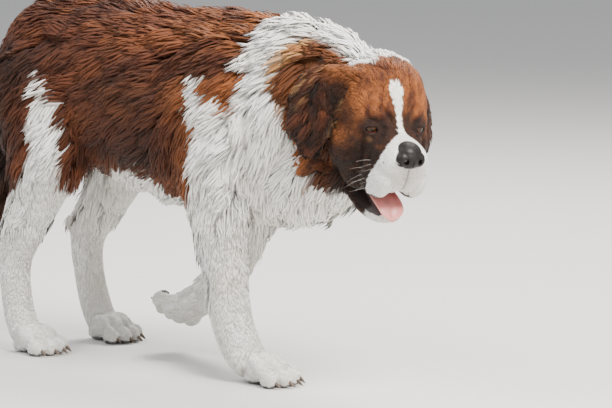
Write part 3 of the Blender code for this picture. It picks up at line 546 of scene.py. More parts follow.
# The same on the head, in its own frame: +X to the nose, the origin between the eyes
headCoat = {
    "face": [
        ((0.085, -0.012, 0.000), (-1.0, -0.40, 0.10), 0.0060, 0.0018, 0.0010, 0.006, 0.0, 0.0015),
        ((0.050, -0.015, 0.006), (-1.0, -0.25, 0.15), 0.0068, 0.0021, 0.0012, 0.007, 0.0, 0.0020),
        ((0.085, -0.035, -0.045), (-0.9, 0.00, -0.45), 0.0070, 0.0019, 0.0011, 0.006, 0.0, 0.0015),
        ((0.100, -0.015, -0.060), (-0.3, -0.50, -0.90), 0.0060, 0.0018, 0.0010, 0.006, 0.0, 0.0015),
        ((0.060, -0.060, -0.080), (-0.8, 0.00, -0.70), 0.0100, 0.0022, 0.0014, 0.007, 0.0, 0.0020),
        ((0.060, -0.055, -0.120), (-0.5, 0.00, -1.00), 0.0100, 0.0022, 0.0014, 0.007, 0.1, 0.0020),
        ((0.020, -0.065, -0.060), (-0.9, 0.00, -0.40), 0.0110, 0.0023, 0.0015, 0.008, 0.0, 0.0025),
        ((0.030, -0.040, -0.010), (-0.8, -0.50, -0.30), 0.0068, 0.0021, 0.0012, 0.007, 0.0, 0.0020),
        ((0.010, -0.030, 0.020), (-0.5, -0.40, 0.90), 0.0068, 0.0021, 0.0012, 0.007, 0.0, 0.0020),
        ((0.008, 0.000, 0.030), (-0.35, -0.05, 1.00), 0.0090, 0.0021, 0.0012, 0.007, 0.0, 0.0020),
        ((0.000, -0.075, 0.004), (-1.0, -0.30, 0.10), 0.0090, 0.0021, 0.0013, 0.007, 0.0, 0.0020),
        ((0.004, -0.055, -0.024), (-0.7, -0.30, -0.60), 0.0068, 0.0021, 0.0012, 0.007, 0.0, 0.0020),
        ((-0.010, -0.045, 0.050), (-0.5, -0.50, 0.80), 0.0120, 0.0025, 0.0018, 0.009, 0.0, 0.0035),
        ((-0.020, -0.010, 0.085), (-0.6, -0.10, 0.90), 0.0130, 0.0026, 0.0020, 0.010, 0.0, 0.0040),
    ],
    "skull": [
        ((-0.060, -0.020, 0.122), (-1.0, -0.10, 0.10), 0.0220, 0.0036, 0.0045, 0.014, 0.0, 0.0060),
        ((-0.045, -0.070, 0.085), (-0.9, -0.60, 0.20), 0.0200, 0.0034, 0.0040, 0.013, 0.0, 0.0055),
        ((-0.040, -0.095, 0.030), (-1.0, -0.10, -0.10), 0.0200, 0.0034, 0.0035, 0.012, 0.0, 0.0050),
        ((-0.110, -0.060, 0.110), (-1.0, -0.20, 0.00), 0.0350, 0.0048, 0.0068, 0.018, 0.0, 0.0050),
        ((-0.110, 0.000, 0.125), (-1.0, 0.00, -0.10), 0.0350, 0.0048, 0.0068, 0.018, 0.0, 0.0050),
        ((-0.050, -0.105, -0.040), (-0.9, 0.00, -0.50), 0.0220, 0.0034, 0.0035, 0.012, 0.0, 0.0045),
        ((-0.020, -0.085, -0.100), (-0.8, 0.00, -0.70), 0.0180, 0.0030, 0.0028, 0.010, 0.0, 0.0035),
        ((-0.070, -0.095, -0.110), (-0.7, 0.00, -0.80), 0.0380, 0.0044, 0.0070, 0.016, 0.1, 0.0040),
        ((-0.110, -0.090, -0.120), (-0.6, 0.00, -0.90), 0.0650, 0.0060, 0.0120, 0.022, 0.2, 0.0030),
        ((-0.130, -0.100, -0.040), (-0.7, 0.00, -0.80), 0.0500, 0.0056, 0.0100, 0.020, 0.1, 0.0040),
        ((0.040, -0.030, -0.195), (-0.6, 0.00, -0.80), 0.0120, 0.0026, 0.0020, 0.009, 0.2, 0.0020),
        ((0.000, -0.045, -0.185), (-0.7, 0.00, -0.70), 0.0140, 0.0028, 0.0022, 0.010, 0.2, 0.0020),
        ((-0.070, -0.040, -0.190), (-0.8, 0.00, -0.60), 0.0350, 0.0044, 0.0070, 0.018, 0.4, 0.0020),
    ],
    "ears": [
        ((-0.075, -0.100, 0.095), (-0.4, -0.55, -0.55), 0.0220, 0.0036, 0.0040, 0.014, 0.0, 0.0),
        ((-0.085, -0.135, 0.050), (0.10, -0.10, -1.00), 0.0260, 0.0038, 0.0042, 0.015, 0.0, 0.0),
        ((-0.135, -0.135, 0.050), (-0.50, 0.00, -0.90), 0.0400, 0.0048, 0.0070, 0.018, 0.1, 0.0),
        ((-0.080, -0.150, -0.010), (0.00, 0.00, -1.00), 0.0300, 0.0040, 0.0042, 0.015, 0.0, 0.0),
        ((-0.145, -0.150, -0.010), (-0.40, 0.00, -0.90), 0.0420, 0.0048, 0.0070, 0.018, 0.1, 0.0),
        ((-0.090, -0.150, -0.070), (-0.10, 0.00, -1.00), 0.0320, 0.0042, 0.0045, 0.016, 0.1, 0.0),
        ((-0.120, -0.150, -0.070), (-0.20, 0.00, -1.00), 0.0380, 0.0046, 0.0060, 0.016, 0.2, 0.0),
        ((-0.095, -0.140, -0.110), (-0.10, 0.00, -1.00), 0.0300, 0.0042, 0.0050, 0.015, 0.5, 0.0),
    ],
}
zoneNames = ["torso", "chest", "neck", "legs", "tail", "face", "skull", "ears"]


def coatTable():
    places, values, zones = [], [], []
    for zone, rows in coat.items():
        for row in rows:
            for side in (1, -1):
                places.append((row[0][0], side * row[0][1], row[0][2]))
                values.append((row[1][0], side * row[1][1], row[1][2], *row[2:]))
                zones.append(zoneNames.index(zone))
    matrix = headMatrix()
    for zone, rows in headCoat.items():
        for row in rows:
            for side in (1, -1):
                spot = matrix @ Vector((row[0][0], side * row[0][1], row[0][2]))
                way = matrix.to_3x3() @ Vector((row[1][0], side * row[1][1], row[1][2]))
                places.append(tuple(spot))
                values.append((*way, *row[2:]))
                zones.append(zoneNames.index(zone))
    return np.array(places), np.array(values), np.array(zones)


coatPlaces, coatValues, coatZones = coatTable()
earTrees = [BVHTree.FromPolygons(*earShape(side)) for side in (-1, 1)]


def earDistance(points):
    # how far each point is from the ear on its side
    local = toHead(points)
    far = np.full(len(points), 9.0)
    near = (np.abs(local[:, 0] + 0.1) < 0.18) & (np.abs(local[:, 1]) > 0.04) & (local[:, 2] > -0.24)
    for i in np.flatnonzero(near):
        far[i] = earTrees[int(local[i, 1] > 0)].find_nearest(Vector(points[i]))[3]
    return far


def lieOfCoat(points):
    # way, length, width, lift, clump, hang and sink at each point, and its zone
    mixed = np.empty((len(points), coatValues.shape[1]))
    zones = np.empty(len(points), int)
    for start in range(0, len(points), 20000):
        part = points[start : start + 20000]
        far = ((part[:, None, :] - coatPlaces[None]) ** 2).sum(axis=2)
        weight = 1 / (far + 0.00008) ** 2.5
        mixed[start : start + 20000] = weight @ coatValues / weight.sum(axis=1, keepdims=True)
        zones[start : start + 20000] = coatZones[np.argmax(weight, axis=1)]
    far = earDistance(points)
    tucked = 1 - 0.65 * (far > 0.0105) * rise(far, 0.045, 0.012)  # short under and beside the ears
    mixed[:, 3] *= tucked
    mixed[:, 5] *= tucked
    return mixed, zones


# Folds of the face, as lines in the head's frame, right side: width, depth, points
creases = [
    (0.0060, 0.0030, [(0.018, -0.034, 0.002), (0.034, -0.044, -0.028), (0.036, -0.062, -0.064)]),
    (0.0055, 0.0026, [(0.004, -0.072, -0.016), (0.010, -0.072, -0.040), (0.024, -0.070, -0.070)]),
    (0.0050, 0.0026, [(0.012, -0.018, 0.022), (0.002, -0.034, 0.040), (-0.012, -0.060, 0.046)]),
    (0.0045, 0.0018, [(0.006, -0.010, 0.040), (-0.010, -0.022, 0.066), (-0.026, -0.040, 0.084)]),
    (0.0060, 0.0026, [(-0.004, -0.084, 0.010), (-0.020, -0.094, -0.010), (-0.024, -0.096, -0.050)]),
    (0.0060, 0.0024, [(-0.010, -0.084, -0.078), (-0.030, -0.090, -0.100), (-0.060, -0.086, -0.125)]),
    (0.0035, 0.0040, [(0.106, 0.000, -0.046), (0.104, 0.000, -0.074), (0.094, 0.000, -0.105)]),
    (0.0060, 0.0016, [(0.014, 0.000, 0.020), (-0.006, 0.000, 0.060), (-0.030, 0.000, 0.104)]),
]


def folded(points, normals):
    local = toHead(points)
    local = np.column_stack([local[:, 0], -np.abs(local[:, 1]), local[:, 2]])
    move = np.zeros(len(points))
    for width, depth, line in creases:
        line = smoothRows(line, 5)
        nearest = np.full(len(points), 9.0)
        for a, b in zip(line, line[1:]):
            along = np.clip(((local - a) @ (b - a)) / ((b - a) @ (b - a)), 0, 1)
            nearest = np.minimum(nearest, np.linalg.norm(local - a - along[:, None] * (b - a), axis=1))
        move -= depth * np.exp(-((nearest / width) ** 2))
        move += 0.5 * depth * np.exp(-(((nearest - 2 * width) / width) ** 2))
    return points + normals * move[:, None]


lid = {
    "half": (0.0148, 0.0078),
    "tube": 0.0016,
    "tilt": 8,
    "ball": 0.0172,
    "cut": (0.0225, 0, -0.0004),
    "opening": (0.030, 0.0148, 0.0078),
}


def makeSkin():
    skin = fused("skin", bodyShapes() + [trunkLike(skull, headMatrix())] + legShapes(), body["voxel"], 5)
    paws = fused("paws", pawShapes(), body["pawVoxel"], 4)
    face = fused("face", headShapes(), head["voxel"], 4)
    points, normals = pointsOf(face), normalsOf(face)
    sink = lieOfCoat(points)[0][:, 8]
    setPoints(face, folded(points - normals * sink[:, None], normals))
    for obj in (skin, paws):
        points, normals = pointsOf(obj), normalsOf(obj)
        sink = lieOfCoat(points)[0][:, 8]
        if obj is skin:
            inHead = toHead(points)
            sink += 0.010 * (inHead[:, 0] > -0.15) * (inHead[:, 2] > -0.14)
        setPoints(obj, points - normals * sink[:, None])
    boolean(skin, "UNION", face)
    boolean(skin, "UNION", paws)
    for side in (-1, 1):
        opening = joined("opening", [ball(lid["cut"], lid["opening"], gaze(side), (side * -lid["tilt"], 0, 0))])
        boolean(skin, "DIFFERENCE", opening)
    triangles = sum(len(face.vertices) - 2 for face in skin.data.polygons)
    if triangles > body["triangles"]:
        thin = skin.modifiers.new("thin", "DECIMATE")
        thin.ratio = body["triangles"] / triangles
        applied(skin)
    points = pointsOf(skin)
    points[:, 2] = np.maximum(points[:, 2], 0.0006)
    setPoints(skin, points)
    return skin


skin = makeSkin()
print("skin", sum(len(face.vertices) - 2 for face in skin.data.polygons), "triangles")


# Markings, as outlines in the side view (X, Z) and the head's frame
tones = {
    "white": (0.93, 0.91, 0.88),
    "cream": (0.84, 0.79, 0.70),
    "mahogany": (0.105, 0.029, 0.011),
    "rust": (0.31, 0.098, 0.026),
    "black": (0.014, 0.007, 0.005),
    "gold": (0.46, 0.24, 0.095),
    "lip": (0.020, 0.014, 0.013),
}
tone = {name: np.array(value) for name, value in tones.items()}
whiteFront = [
    (0.300, 0.90), (0.306, 0.815), (0.322, 0.789), (0.320, 0.740), (0.316, 0.700), (0.328, 0.640),
    (0.318, 0.600), (0.292, 0.580), (0.262, 0.606), (0.240, 0.635), (0.210, 0.672), (0.192, 0.650),
    (0.182, 0.622), (0.206, 0.581), (0.228, 0.537), (0.218, 0.504), (0.212, 0.454), (0.198, 0.410),
    (0.172, 0.376), (0.120, 0.330), (0.040, 0.300), (0.040, 0.240), (-0.17, 0.200), (-0.17, -0.1),
    (0.90, -0.1), (0.90, 0.90),
]  # fmt: skip
whiteRear = [
    (-0.268, 0.655), (-0.236, 0.618), (-0.211, 0.586), (-0.202, 0.527), (-0.185, 0.477), (-0.192, 0.432),
    (-0.205, 0.392), (-0.150, 0.385), (-0.114, 0.420), (-0.060, 0.436), (-0.010, 0.444), (0.030, 0.428),
    (0.058, 0.392), (0.090, 0.345), (0.120, 0.330), (0.120, -0.1), (-0.440, -0.1), (-0.450, 0.27),
    (-0.395, 0.340), (-0.301, 0.402), (-0.266, 0.450), (-0.272, 0.500), (-0.266, 0.575),
]  # fmt: skip


def insideBy(points, outline):
    # how far each point is inside an outline, negative outside
    outline = np.array(outline)
    nearest = np.full(len(points), 9.0)
    inside = np.zeros(len(points), bool)
    for a, b in zip(outline, np.roll(outline, -1, axis=0)):
        along = np.clip(((points - a) @ (b - a)) / ((b - a) @ (b - a)), 0, 1)
        nearest = np.minimum(nearest, np.linalg.norm(points - a - along[:, None] * (b - a), axis=1))
        crosses = (a[1] > points[:, 1]) != (b[1] > points[:, 1])
        with np.errstate(divide="ignore", invalid="ignore"):
            inside ^= crosses & (points[:, 0] < (b[0] - a[0]) * (points[:, 1] - a[1]) / (b[1] - a[1]) + a[0])
    return np.where(inside, nearest, -nearest)


def markings(points, roots=None):
    # the coat's colour where it shows, with painted sunlight on the saddle, the same for skin and tufts
    x, y, z = points.T
    local = toHead(points)
    lx, ly, lz = local.T
    edge = 0.007 * ripple(points, 0.045, 3) + 0.004 * ripple(points, 0.016, 4)
    flat = np.column_stack([x + np.where(y > 0, 0.012, 0), z])

    # saddle: mahogany, with black-tipped and rust streaks that follow the coat; the rust is partly the coat's own and
    # partly painted sunlight on the top of the back and towards the front
    streak = np.column_stack([x * 0.55 + z * 0.25, y, z - 0.35 * x])
    darkness = 0.5 + 0.5 * ripple(streak, 0.21, 11) + 0.28 * ripple(streak, 0.05, 12)
    lowDark = rise(z, 0.66, 0.52) * 0.20
    colour = blend(tone["mahogany"], tone["black"], np.clip(0.26 + 0.85 * (darkness + lowDark - 0.40), 0, 0.90))
    # painted sunlight: more rust on the top of the back and towards the front, over rust streaks everywhere
    rustAndPaintedSun = rise(z, 0.68, 0.80) * 0.32 + 0.26 * rise(x, 0.16, 0.30) + 0.12
    rustAndPaintedSun = rustAndPaintedSun * rise(ripple(streak, 0.11, 13) + 0.4 * ripple(streak, 0.03, 14), -0.3, 0.7)
    colour = blend(colour, tone["rust"], np.clip(rustAndPaintedSun, 0, 0.85))
    hem = np.exp(-((insideBy(flat, whiteFront) / 0.05) ** 2)) * 0.45 * (z < 0.66)
    colour = blend(colour, tone["rust"], np.clip(hem, 0, 1))
    behind = rise(x, -0.30, -0.40) * rise(z, 0.80, 0.62)
    colour = blend(colour, tone["black"], behind * 0.45)

    front = insideBy(flat, whiteFront) + edge
    rear = insideBy(flat, whiteRear) + edge
    under = np.where((np.abs(y) < 0.085) & (x > -0.42), 0.395 - z + edge, -1)
    whiteness = rise(np.maximum.reduce([front, rear, under]), -0.004, 0.006)
    tailTip = rise(z, 0.235, 0.205) * (x < -0.47)
    whiteness = np.where(x < -0.455, tailTip, whiteness)
    pale = blend(tone["white"], tone["cream"], np.clip(0.25 + 0.3 * ripple(points, 0.12, 21), 0, 0.7))
    colour = blend(colour, pale, whiteness)

    # gold behind the ears, brown cheeks that come down to a point
    gold = 1 - np.hypot((x - 0.455) / 0.062, (z - 0.680) / 0.105) + edge * 8
    gold = rise(gold, -0.05, 0.25) * rise(np.abs(y), 0.045, 0.075)
    goldTone = blend(tone["gold"], tone["rust"], rise(ripple(points, 0.05, 31), -0.1, 0.9) * 0.8)
    goldTone = blend(goldTone, tone["black"], 0.30 * rise(x, 0.46, 0.52))
    colour = blend(colour, goldTone, gold)
    cheek = insideBy(
        np.column_stack([x, z]),
        [(0.40, 0.66), (0.448, 0.560), (0.466, 0.500), (0.470, 0.450), (0.484, 0.405), (0.500, 0.450),
         (0.520, 0.480), (0.620, 0.480), (0.66, 0.80), (0.50, 0.78)],
    )  # fmt: skip
    cheek = rise(cheek + edge, -0.004, 0.008) * rise(np.abs(y + 0.02), 0.055, 0.075)
    cheekTone = blend(tone["rust"], tone["mahogany"], 0.35 + 0.3 * ripple(points, 0.04, 32))
    cheekTone = blend(cheekTone, tone["black"], rise(z, 0.54, 0.62) * 0.5)
    colour = blend(colour, cheekTone, cheek)

    # the head: orange-brown crown, near-black mask round the eyes and cheeks, white blaze and muzzle
    onHead = rise(lx, -0.125, -0.100) * rise(lz, -0.215, -0.190)
    hairs = np.column_stack([lx * 0.35, ly, lz * 0.35])
    crownDark = 0.42 + 0.40 * ripple(hairs, 0.028, 41) + 0.30 * ripple(hairs, 0.009, 45)
    beside = np.exp(-(((np.abs(ly) - 0.030) / 0.014) ** 2)) * rise(lz, 0.10, 0.06)
    crownDark += 0.40 * beside - 0.25 * rise(np.abs(ly), 0.060, 0.090) * rise(lz, 0.0, 0.04)
    crownDark += 0.30 * rise(lz, 0.080, 0.115)
    crown = blend(tone["rust"] * 0.95, tone["mahogany"] * 0.75, np.clip(crownDark, 0, 1))
    eyeFar = np.sqrt((0.6 * lx) ** 2 + (np.abs(ly) - 0.048) ** 2 + (lz + 0.006) ** 2)
    mask = rise(eyeFar, 0.050, 0.026) * 0.97
    lower = rise(lz, 0.010, -0.035) * rise(lx, -0.100, -0.060) * 0.98
    mask = np.maximum(mask, lower)
    mask = np.maximum(mask, rise(lz, 0.06, 0.0) * rise(np.abs(ly), 0.070, 0.095) * 0.75)
    inner = rise(np.abs(ly), 0.046, 0.022) * rise(lz, 0.058, 0.026) * 0.9
    mask = np.maximum(mask, inner)
    frown = np.exp(-(((np.abs(ly) - 0.022) / 0.010) ** 2)) * rise(lz, 0.075, 0.03) * 0.6
    mask = np.maximum(mask, frown)
    maskTone = blend(tone["black"], tone["mahogany"], np.clip(0.06 + 0.20 * ripple(local, 0.03, 42), 0, 0.4))
    face = blend(crown, maskTone, mask)
    glow = np.exp(-(((lx + 0.045) / 0.026) ** 2) - ((lz + 0.040) / 0.024) ** 2) * rise(np.abs(ly), 0.065, 0.085)
    face = blend(face, tone["rust"], glow * (0.75 + 0.25 * ripple(hairs, 0.02, 46)))
    underEye = np.sqrt((0.5 * lx) ** 2 + (np.abs(ly) - 0.057) ** 2 + (1.3 * (lz + 0.022)) ** 2)
    face = blend(face, tone["gold"] * 0.8, rise(underEye, 0.014, 0.005) * 0.55)
    backEdge = rise(lx + edge, -0.098, -0.084)
    sideways = rise(np.abs(ly), 0.050, 0.075)
    backEdge = np.maximum(backEdge, sideways * rise(lz, -0.205, -0.180))
    headColour = blend(pale, face, backEdge)
    heights = [-0.06, -0.022, -0.004, 0.013, 0.034, 0.060, 0.082, 0.100]
    halves = [0.0260, 0.0170, 0.0115, 0.0075, 0.0062, 0.0115, 0.0175, 0.0080]
    middles = [0.0, 0.0, 0.0, 0.0005, 0.0005, -0.003, -0.006, -0.010]
    stripe = np.interp(lz, heights, halves) - np.abs(ly - np.interp(lz, heights, middles))
    stripe = np.minimum(stripe, np.minimum((0.098 - lz) * 0.8, lx + 0.052))
    muzzle = lx - (0.018 + 0.56 * np.abs(ly)) - 0.017 * rise(lz, -0.095, -0.030)
    blaze = np.maximum(stripe * (lx > -0.06) + (lx <= -0.06) * -1, muzzle)
    fine = 0.0022 * ripple(local, 0.011, 43)
    headColour = blend(headColour, pale, rise(blaze + fine, -0.0012, 0.0022))
    chin = rise(lz, -0.160, -0.172) * rise(lx + fine, 0.030, 0.042)
    headColour = blend(headColour, pale, chin)
    snout = np.exp(-(((lx - 0.098) / 0.020) ** 2 + (ly / 0.034) ** 2 + ((lz + 0.068) / 0.020) ** 2))
    headColour = blend(headColour, np.array((0.42, 0.33, 0.30)), snout * 0.5)
    spots = rise(ripple(local, 0.0075, 44), 0.85, 1.05) * (lx > 0.05) * (lz < -0.03) * (lz > -0.13)
    headColour = blend(headColour, tone["black"], spots * 0.8)
    parting = np.exp(-((ly / 0.0020) ** 2)) * (lx > 0.080) * rise(lz, -0.040, -0.050) * rise(lz, -0.112, -0.100)
    headColour = blend(headColour, tone["lip"], parting * 0.5)
    throat = rise(lz, -0.184, -0.194) * rise(lx, 0.010, -0.020)
    headColour = blend(headColour, pale, throat * rise(np.abs(ly), 0.075, 0.050) * (lx < 0))
    colour = blend(colour, headColour, onHead)

    # ears: near black, brown where they are rooted
    earTone = blend(tone["black"], tone["mahogany"], np.clip(0.30 + 0.5 * ripple(local, 0.05, 51), 0, 0.9))
    earTone = blend(earTone, tone["rust"], rise(lz, 0.045, 0.090) * 0.6)
    rim = rise(lx - 0.5 * np.abs(ly), -0.130, -0.112) * rise(lz, 0.07, 0.03) * 0.45
    earTone = blend(earTone, tone["gold"], rim * rise(ripple(local, 0.03, 52), -0.4, 0.5))
    behindEar = rise(lx, -0.118, -0.140) * rise(lz, -0.060, 0.010)
    earTone = blend(earTone, tone["gold"], behindEar * rise(ripple(hairs, 0.012, 53), -0.2, 1.0) * 0.6)
    far = earDistance(points if roots is None else roots)
    colour = blend(colour, earTone, rise(far, 0.0110, 0.0070))
    return np.clip(colour, 0, 1)


def setColours(obj, colours, name="coatColour"):
    layer = obj.data.attributes.new(name, "FLOAT_COLOR", "POINT")
    layer.data.foreach_set("color", np.column_stack([colours, np.ones(len(colours))]).astype(np.float32).ravel())


# Materials
def addNode(tree, kind, **settings):
    node = tree.nodes.new(kind)
    for key, value in settings.items():
        if key in ("operation", "blend_type", "data_type", "attribute_name", "uv_map", "feature", "noise_dimensions"):
            setattr(node, key, value)
        else:
            node.inputs[key].default_value = value
    return node


def furGrain():
    # fine hairs along the second coordinate, as a shade and a height
    tree = bpy.data.node_groups.new("furGrain", "ShaderNodeTree")
    tree.interface.new_socket("Vector", in_out="INPUT", socket_type="NodeSocketVector")
    tree.interface.new_socket("Across", in_out="INPUT", socket_type="NodeSocketFloat").default_value = 9
    tree.interface.new_socket("Along", in_out="INPUT", socket_type="NodeSocketFloat").default_value = 1
    tree.interface.new_socket("Shade", in_out="OUTPUT", socket_type="NodeSocketFloat")
    tree.interface.new_socket("Height", in_out="OUTPUT", socket_type="NodeSocketFloat")
    start = tree.nodes.new("NodeGroupInput")
    end = tree.nodes.new("NodeGroupOutput")
    scale = tree.nodes.new("ShaderNodeCombineXYZ")
    stretch = addNode(tree, "ShaderNodeVectorMath", operation="MULTIPLY")
    noise = addNode(tree, "ShaderNodeTexNoise", Scale=1.0, Detail=3.0, Roughness=0.6)
    ramp = tree.nodes.new("ShaderNodeMapRange")
    ramp.inputs["From Min"].default_value = 0.30
    ramp.inputs["From Max"].default_value = 0.70
    tree.links.new(start.outputs["Across"], scale.inputs["X"])
    tree.links.new(start.outputs["Along"], scale.inputs["Y"])
    tree.links.new(start.outputs["Across"], scale.inputs["Z"])
    tree.links.new(start.outputs["Vector"], stretch.inputs[0])
    tree.links.new(scale.outputs[0], stretch.inputs[1])
    tree.links.new(stretch.outputs[0], noise.inputs["Vector"])
    tree.links.new(noise.outputs["Fac"], ramp.inputs["Value"])
    tree.links.new(ramp.outputs["Result"], end.inputs["Shade"])
    tree.links.new(noise.outputs["Fac"], end.inputs["Height"])
    return tree


grain = furGrain()


def newMaterial(name, **settings):
    material = bpy.data.materials.new(name)
    material.use_nodes = True
    shader = material.node_tree.nodes["Principled BSDF"]
    for key, value in settings.items():
        shader.inputs[key.replace("_", " ")].default_value = value
    return material, material.node_tree, shader


coatLook = {"softness": 1.4}  # how far a tuft is shaded by the way up from the skin


def coatMaterial():
    material, tree, shader = newMaterial(
        "coat", Roughness=0.62, Specular_IOR_Level=0.16, Sheen_Weight=0.04, Sheen_Roughness=0.5
    )
    colour = addNode(tree, "ShaderNodeAttribute", attribute_name="coatColour")
    strand = addNode(tree, "ShaderNodeUVMap", uv_map="strand")
    split = tree.nodes.new("ShaderNodeSeparateXYZ")
    hairs = tree.nodes.new("ShaderNodeGroup")
    hairs.node_tree = grain
    hairs.inputs["Across"].default_value = 7
    hairs.inputs["Along"].default_value = 1.6
    # painted shade: each tuft is darker at its root than at its tip, for the shade deep between tufts
    paintedRootShade = addNode(tree, "ShaderNodeMapRange", **{"From Min": 0.0, "From Max": 0.8, "To Min": 0.66, "To Max": 1.06})
    fine = addNode(tree, "ShaderNodeMapRange", **{"To Min": 0.80, "To Max": 1.12})
    both = addNode(tree, "ShaderNodeMath", operation="MULTIPLY")
    tinted = tree.nodes.new("ShaderNodeVectorMath")
    tinted.operation = "SCALE"
    bump = addNode(tree, "ShaderNodeBump", Strength=0.5, Distance=0.0012)
    tree.links.new(strand.outputs[0], split.inputs[0])
    tree.links.new(strand.outputs[0], hairs.inputs["Vector"])
    tree.links.new(split.outputs["Y"], paintedRootShade.inputs["Value"])
    tree.links.new(hairs.outputs["Shade"], fine.inputs["Value"])
    tree.links.new(paintedRootShade.outputs["Result"], both.inputs[0])
    tree.links.new(fine.outputs["Result"], both.inputs[1])
    tree.links.new(colour.outputs["Color"], tinted.inputs[0])
    tree.links.new(both.outputs[0], tinted.inputs["Scale"])
    tree.links.new(tinted.outputs[0], shader.inputs["Base Color"])
    tree.links.new(hairs.outputs["Height"], bump.inputs["Height"])
    up = addNode(tree, "ShaderNodeAttribute", attribute_name="coatUp")
    own = tree.nodes.new("ShaderNodeNewGeometry")
    soft = addNode(tree, "ShaderNodeVectorMath", operation="MULTIPLY_ADD")
    soft.inputs[1].default_value = (coatLook["softness"],) * 3
    tree.links.new(up.outputs["Vector"], soft.inputs[0])
    tree.links.new(own.outputs["Normal"], soft.inputs[2])
    even = addNode(tree, "ShaderNodeVectorMath", operation="NORMALIZE")
    tree.links.new(soft.outputs[0], even.inputs[0])
    tree.links.new(even.outputs[0], bump.inputs["Normal"])
    tree.links.new(bump.outputs[0], shader.inputs["Normal"])
    return material


def skinMaterial():
    material, tree, shader = newMaterial("skin", Roughness=0.78, Specular_IOR_Level=0.2)
    colour = addNode(tree, "ShaderNodeAttribute", attribute_name="coatColour")
    place = tree.nodes.new("ShaderNodeTexCoord")
    hairs = tree.nodes.new("ShaderNodeGroup")
    hairs.node_tree = grain
    hairs.inputs["Across"].default_value = 900
    hairs.inputs["Along"].default_value = 700
    fine = addNode(tree, "ShaderNodeMapRange", **{"To Min": 0.70, "To Max": 1.0})
    tinted = tree.nodes.new("ShaderNodeVectorMath")
    tinted.operation = "SCALE"
    bump = addNode(tree, "ShaderNodeBump", Strength=0.6, Distance=0.001)
    tree.links.new(place.outputs["Object"], hairs.inputs["Vector"])
    tree.links.new(hairs.outputs["Shade"], fine.inputs["Value"])
    tree.links.new(colour.outputs["Color"], tinted.inputs[0])
    tree.links.new(fine.outputs["Result"], tinted.inputs["Scale"])
    tree.links.new(tinted.outputs[0], shader.inputs["Base Color"])
    tree.links.new(hairs.outputs["Height"], bump.inputs["Height"])
    tree.links.new(bump.outputs[0], shader.inputs["Normal"])
    return material


def bareSkin(points, normals):
    # where nothing grows: soles, lids, nose leather, inner lips and mouth
    local = toHead(points)
    bare = (points[:, 2] < 0.010) & (normals[:, 2] < -0.3)
    for side in (-1, 1):
        eye = np.array(gaze(side).inverted())
        seen = points @ eye[:3, :3].T + eye[:3, 3]
        bare |= (np.hypot(seen[:, 1] / 0.0168, seen[:, 2] / 0.0104) < 1) & (seen[:, 0] > 0)
    leather = np.linalg.norm((local - (0.094, 0, -0.024)) / (0.026, 0.032, 0.024), axis=1) < 1
    inHead = (local[:, 0] > -0.10) & (np.abs(local[:, 1]) < 0.075)
    localNormals = normals @ headSpace[:3, :3].T
    mouth = inHead & (local[:, 2] < -0.118) & (local[:, 2] > -0.150) & (localNormals[:, 2] < -0.45)
    inJaw = inHead & (local[:, 2] < -0.140) & (local[:, 2] > -0.180) & (np.abs(local[:, 1]) < 0.046)
    mouth |= inJaw & (localNormals[:, 2] > 0.6)
    return bare | leather, mouth


coatFinish = coatMaterial()
skinPoints = pointsOf(skin)
skinMixed, skinZones = lieOfCoat(skinPoints)
skinColours = markings(skinPoints)
# painted shade: the skin is darkened where the coat is long, so the gaps between tufts look deep
skinColours *= 1 - 0.20 * rise(skinMixed[:, 3:4], 0.012, 0.05)
skinBare, skinMouth = bareSkin(skinPoints, normalsOf(skin))
skinColours = blend(skinColours, tone["lip"], np.where(skinMouth, 0.92, np.where(skinBare, 0.75, 0.0)))
setColours(skin, skinColours)
finished(skin, skinMaterial())


# The coat: tufts as closed spindles, gathered into locks that follow the lie
tufts = {
    "triangles": 1440000,
    "seed": 21,
    "perPiece": 190000,  # triangles
    "steps": 6,
    "patch": 0.003,
    "shortest": 0.032,  # tufts shorter than this bend once
    "spacing": (0.60, 0.50),  # of the width, for long and short tufts
    "density": (1.5, 1.5, 1.6, 0.62, 1.3, 0.95, 0.85, 1.0),  # by zone
}


def spreadRoots(obj):
    mesh = obj.data
    mesh.calc_loop_triangles()
    points, normals = pointsOf(obj), normalsOf(obj)
    corners = np.empty(len(mesh.loop_triangles) * 3, np.int32)
    mesh.loop_triangles.foreach_get("vertices", corners)
    corners = corners.reshape(-1, 3)
    spots = points[corners]
    area = np.linalg.norm(np.cross(spots[:, 1] - spots[:, 0], spots[:, 2] - spots[:, 0]), axis=1) / 2
    middle = spots.mean(axis=1)
    mixed, zones = lieOfCoat(middle)
    short = mixed[:, 3] < tufts["shortest"]
    weight = area / (mixed[:, 4] * np.where(short, tufts["spacing"][1], tufts["spacing"][0])) ** 2
    weight *= np.array(tufts["density"])[zones]
    bare, mouth = bareSkin(middle, unit(normals[corners].mean(axis=1)))
    weight[bare | mouth] = 0
    wanted = (weight * np.where(short, 6, 12)).sum()
    count = int(weight.sum() * min(1, tufts["triangles"] / wanted))
    print("tufts", count, "of", int(weight.sum()), "at full cover")
    random = np.random.default_rng(tufts["seed"])
    total = np.cumsum(weight)
    ticks = (np.arange(count) + random.random(count)) / count * total[-1]
    chosen = np.searchsorted(total, ticks)
    a, b = np.sqrt(random.random(len(chosen))), random.random(len(chosen))
    shares = np.column_stack([1 - a, a * (1 - b), a * b])
    roots = (spots[chosen] * shares[:, :, None]).sum(axis=1)
    ups = unit((normals[corners[chosen]] * shares[:, :, None]).sum(axis=1))
    return roots, ups


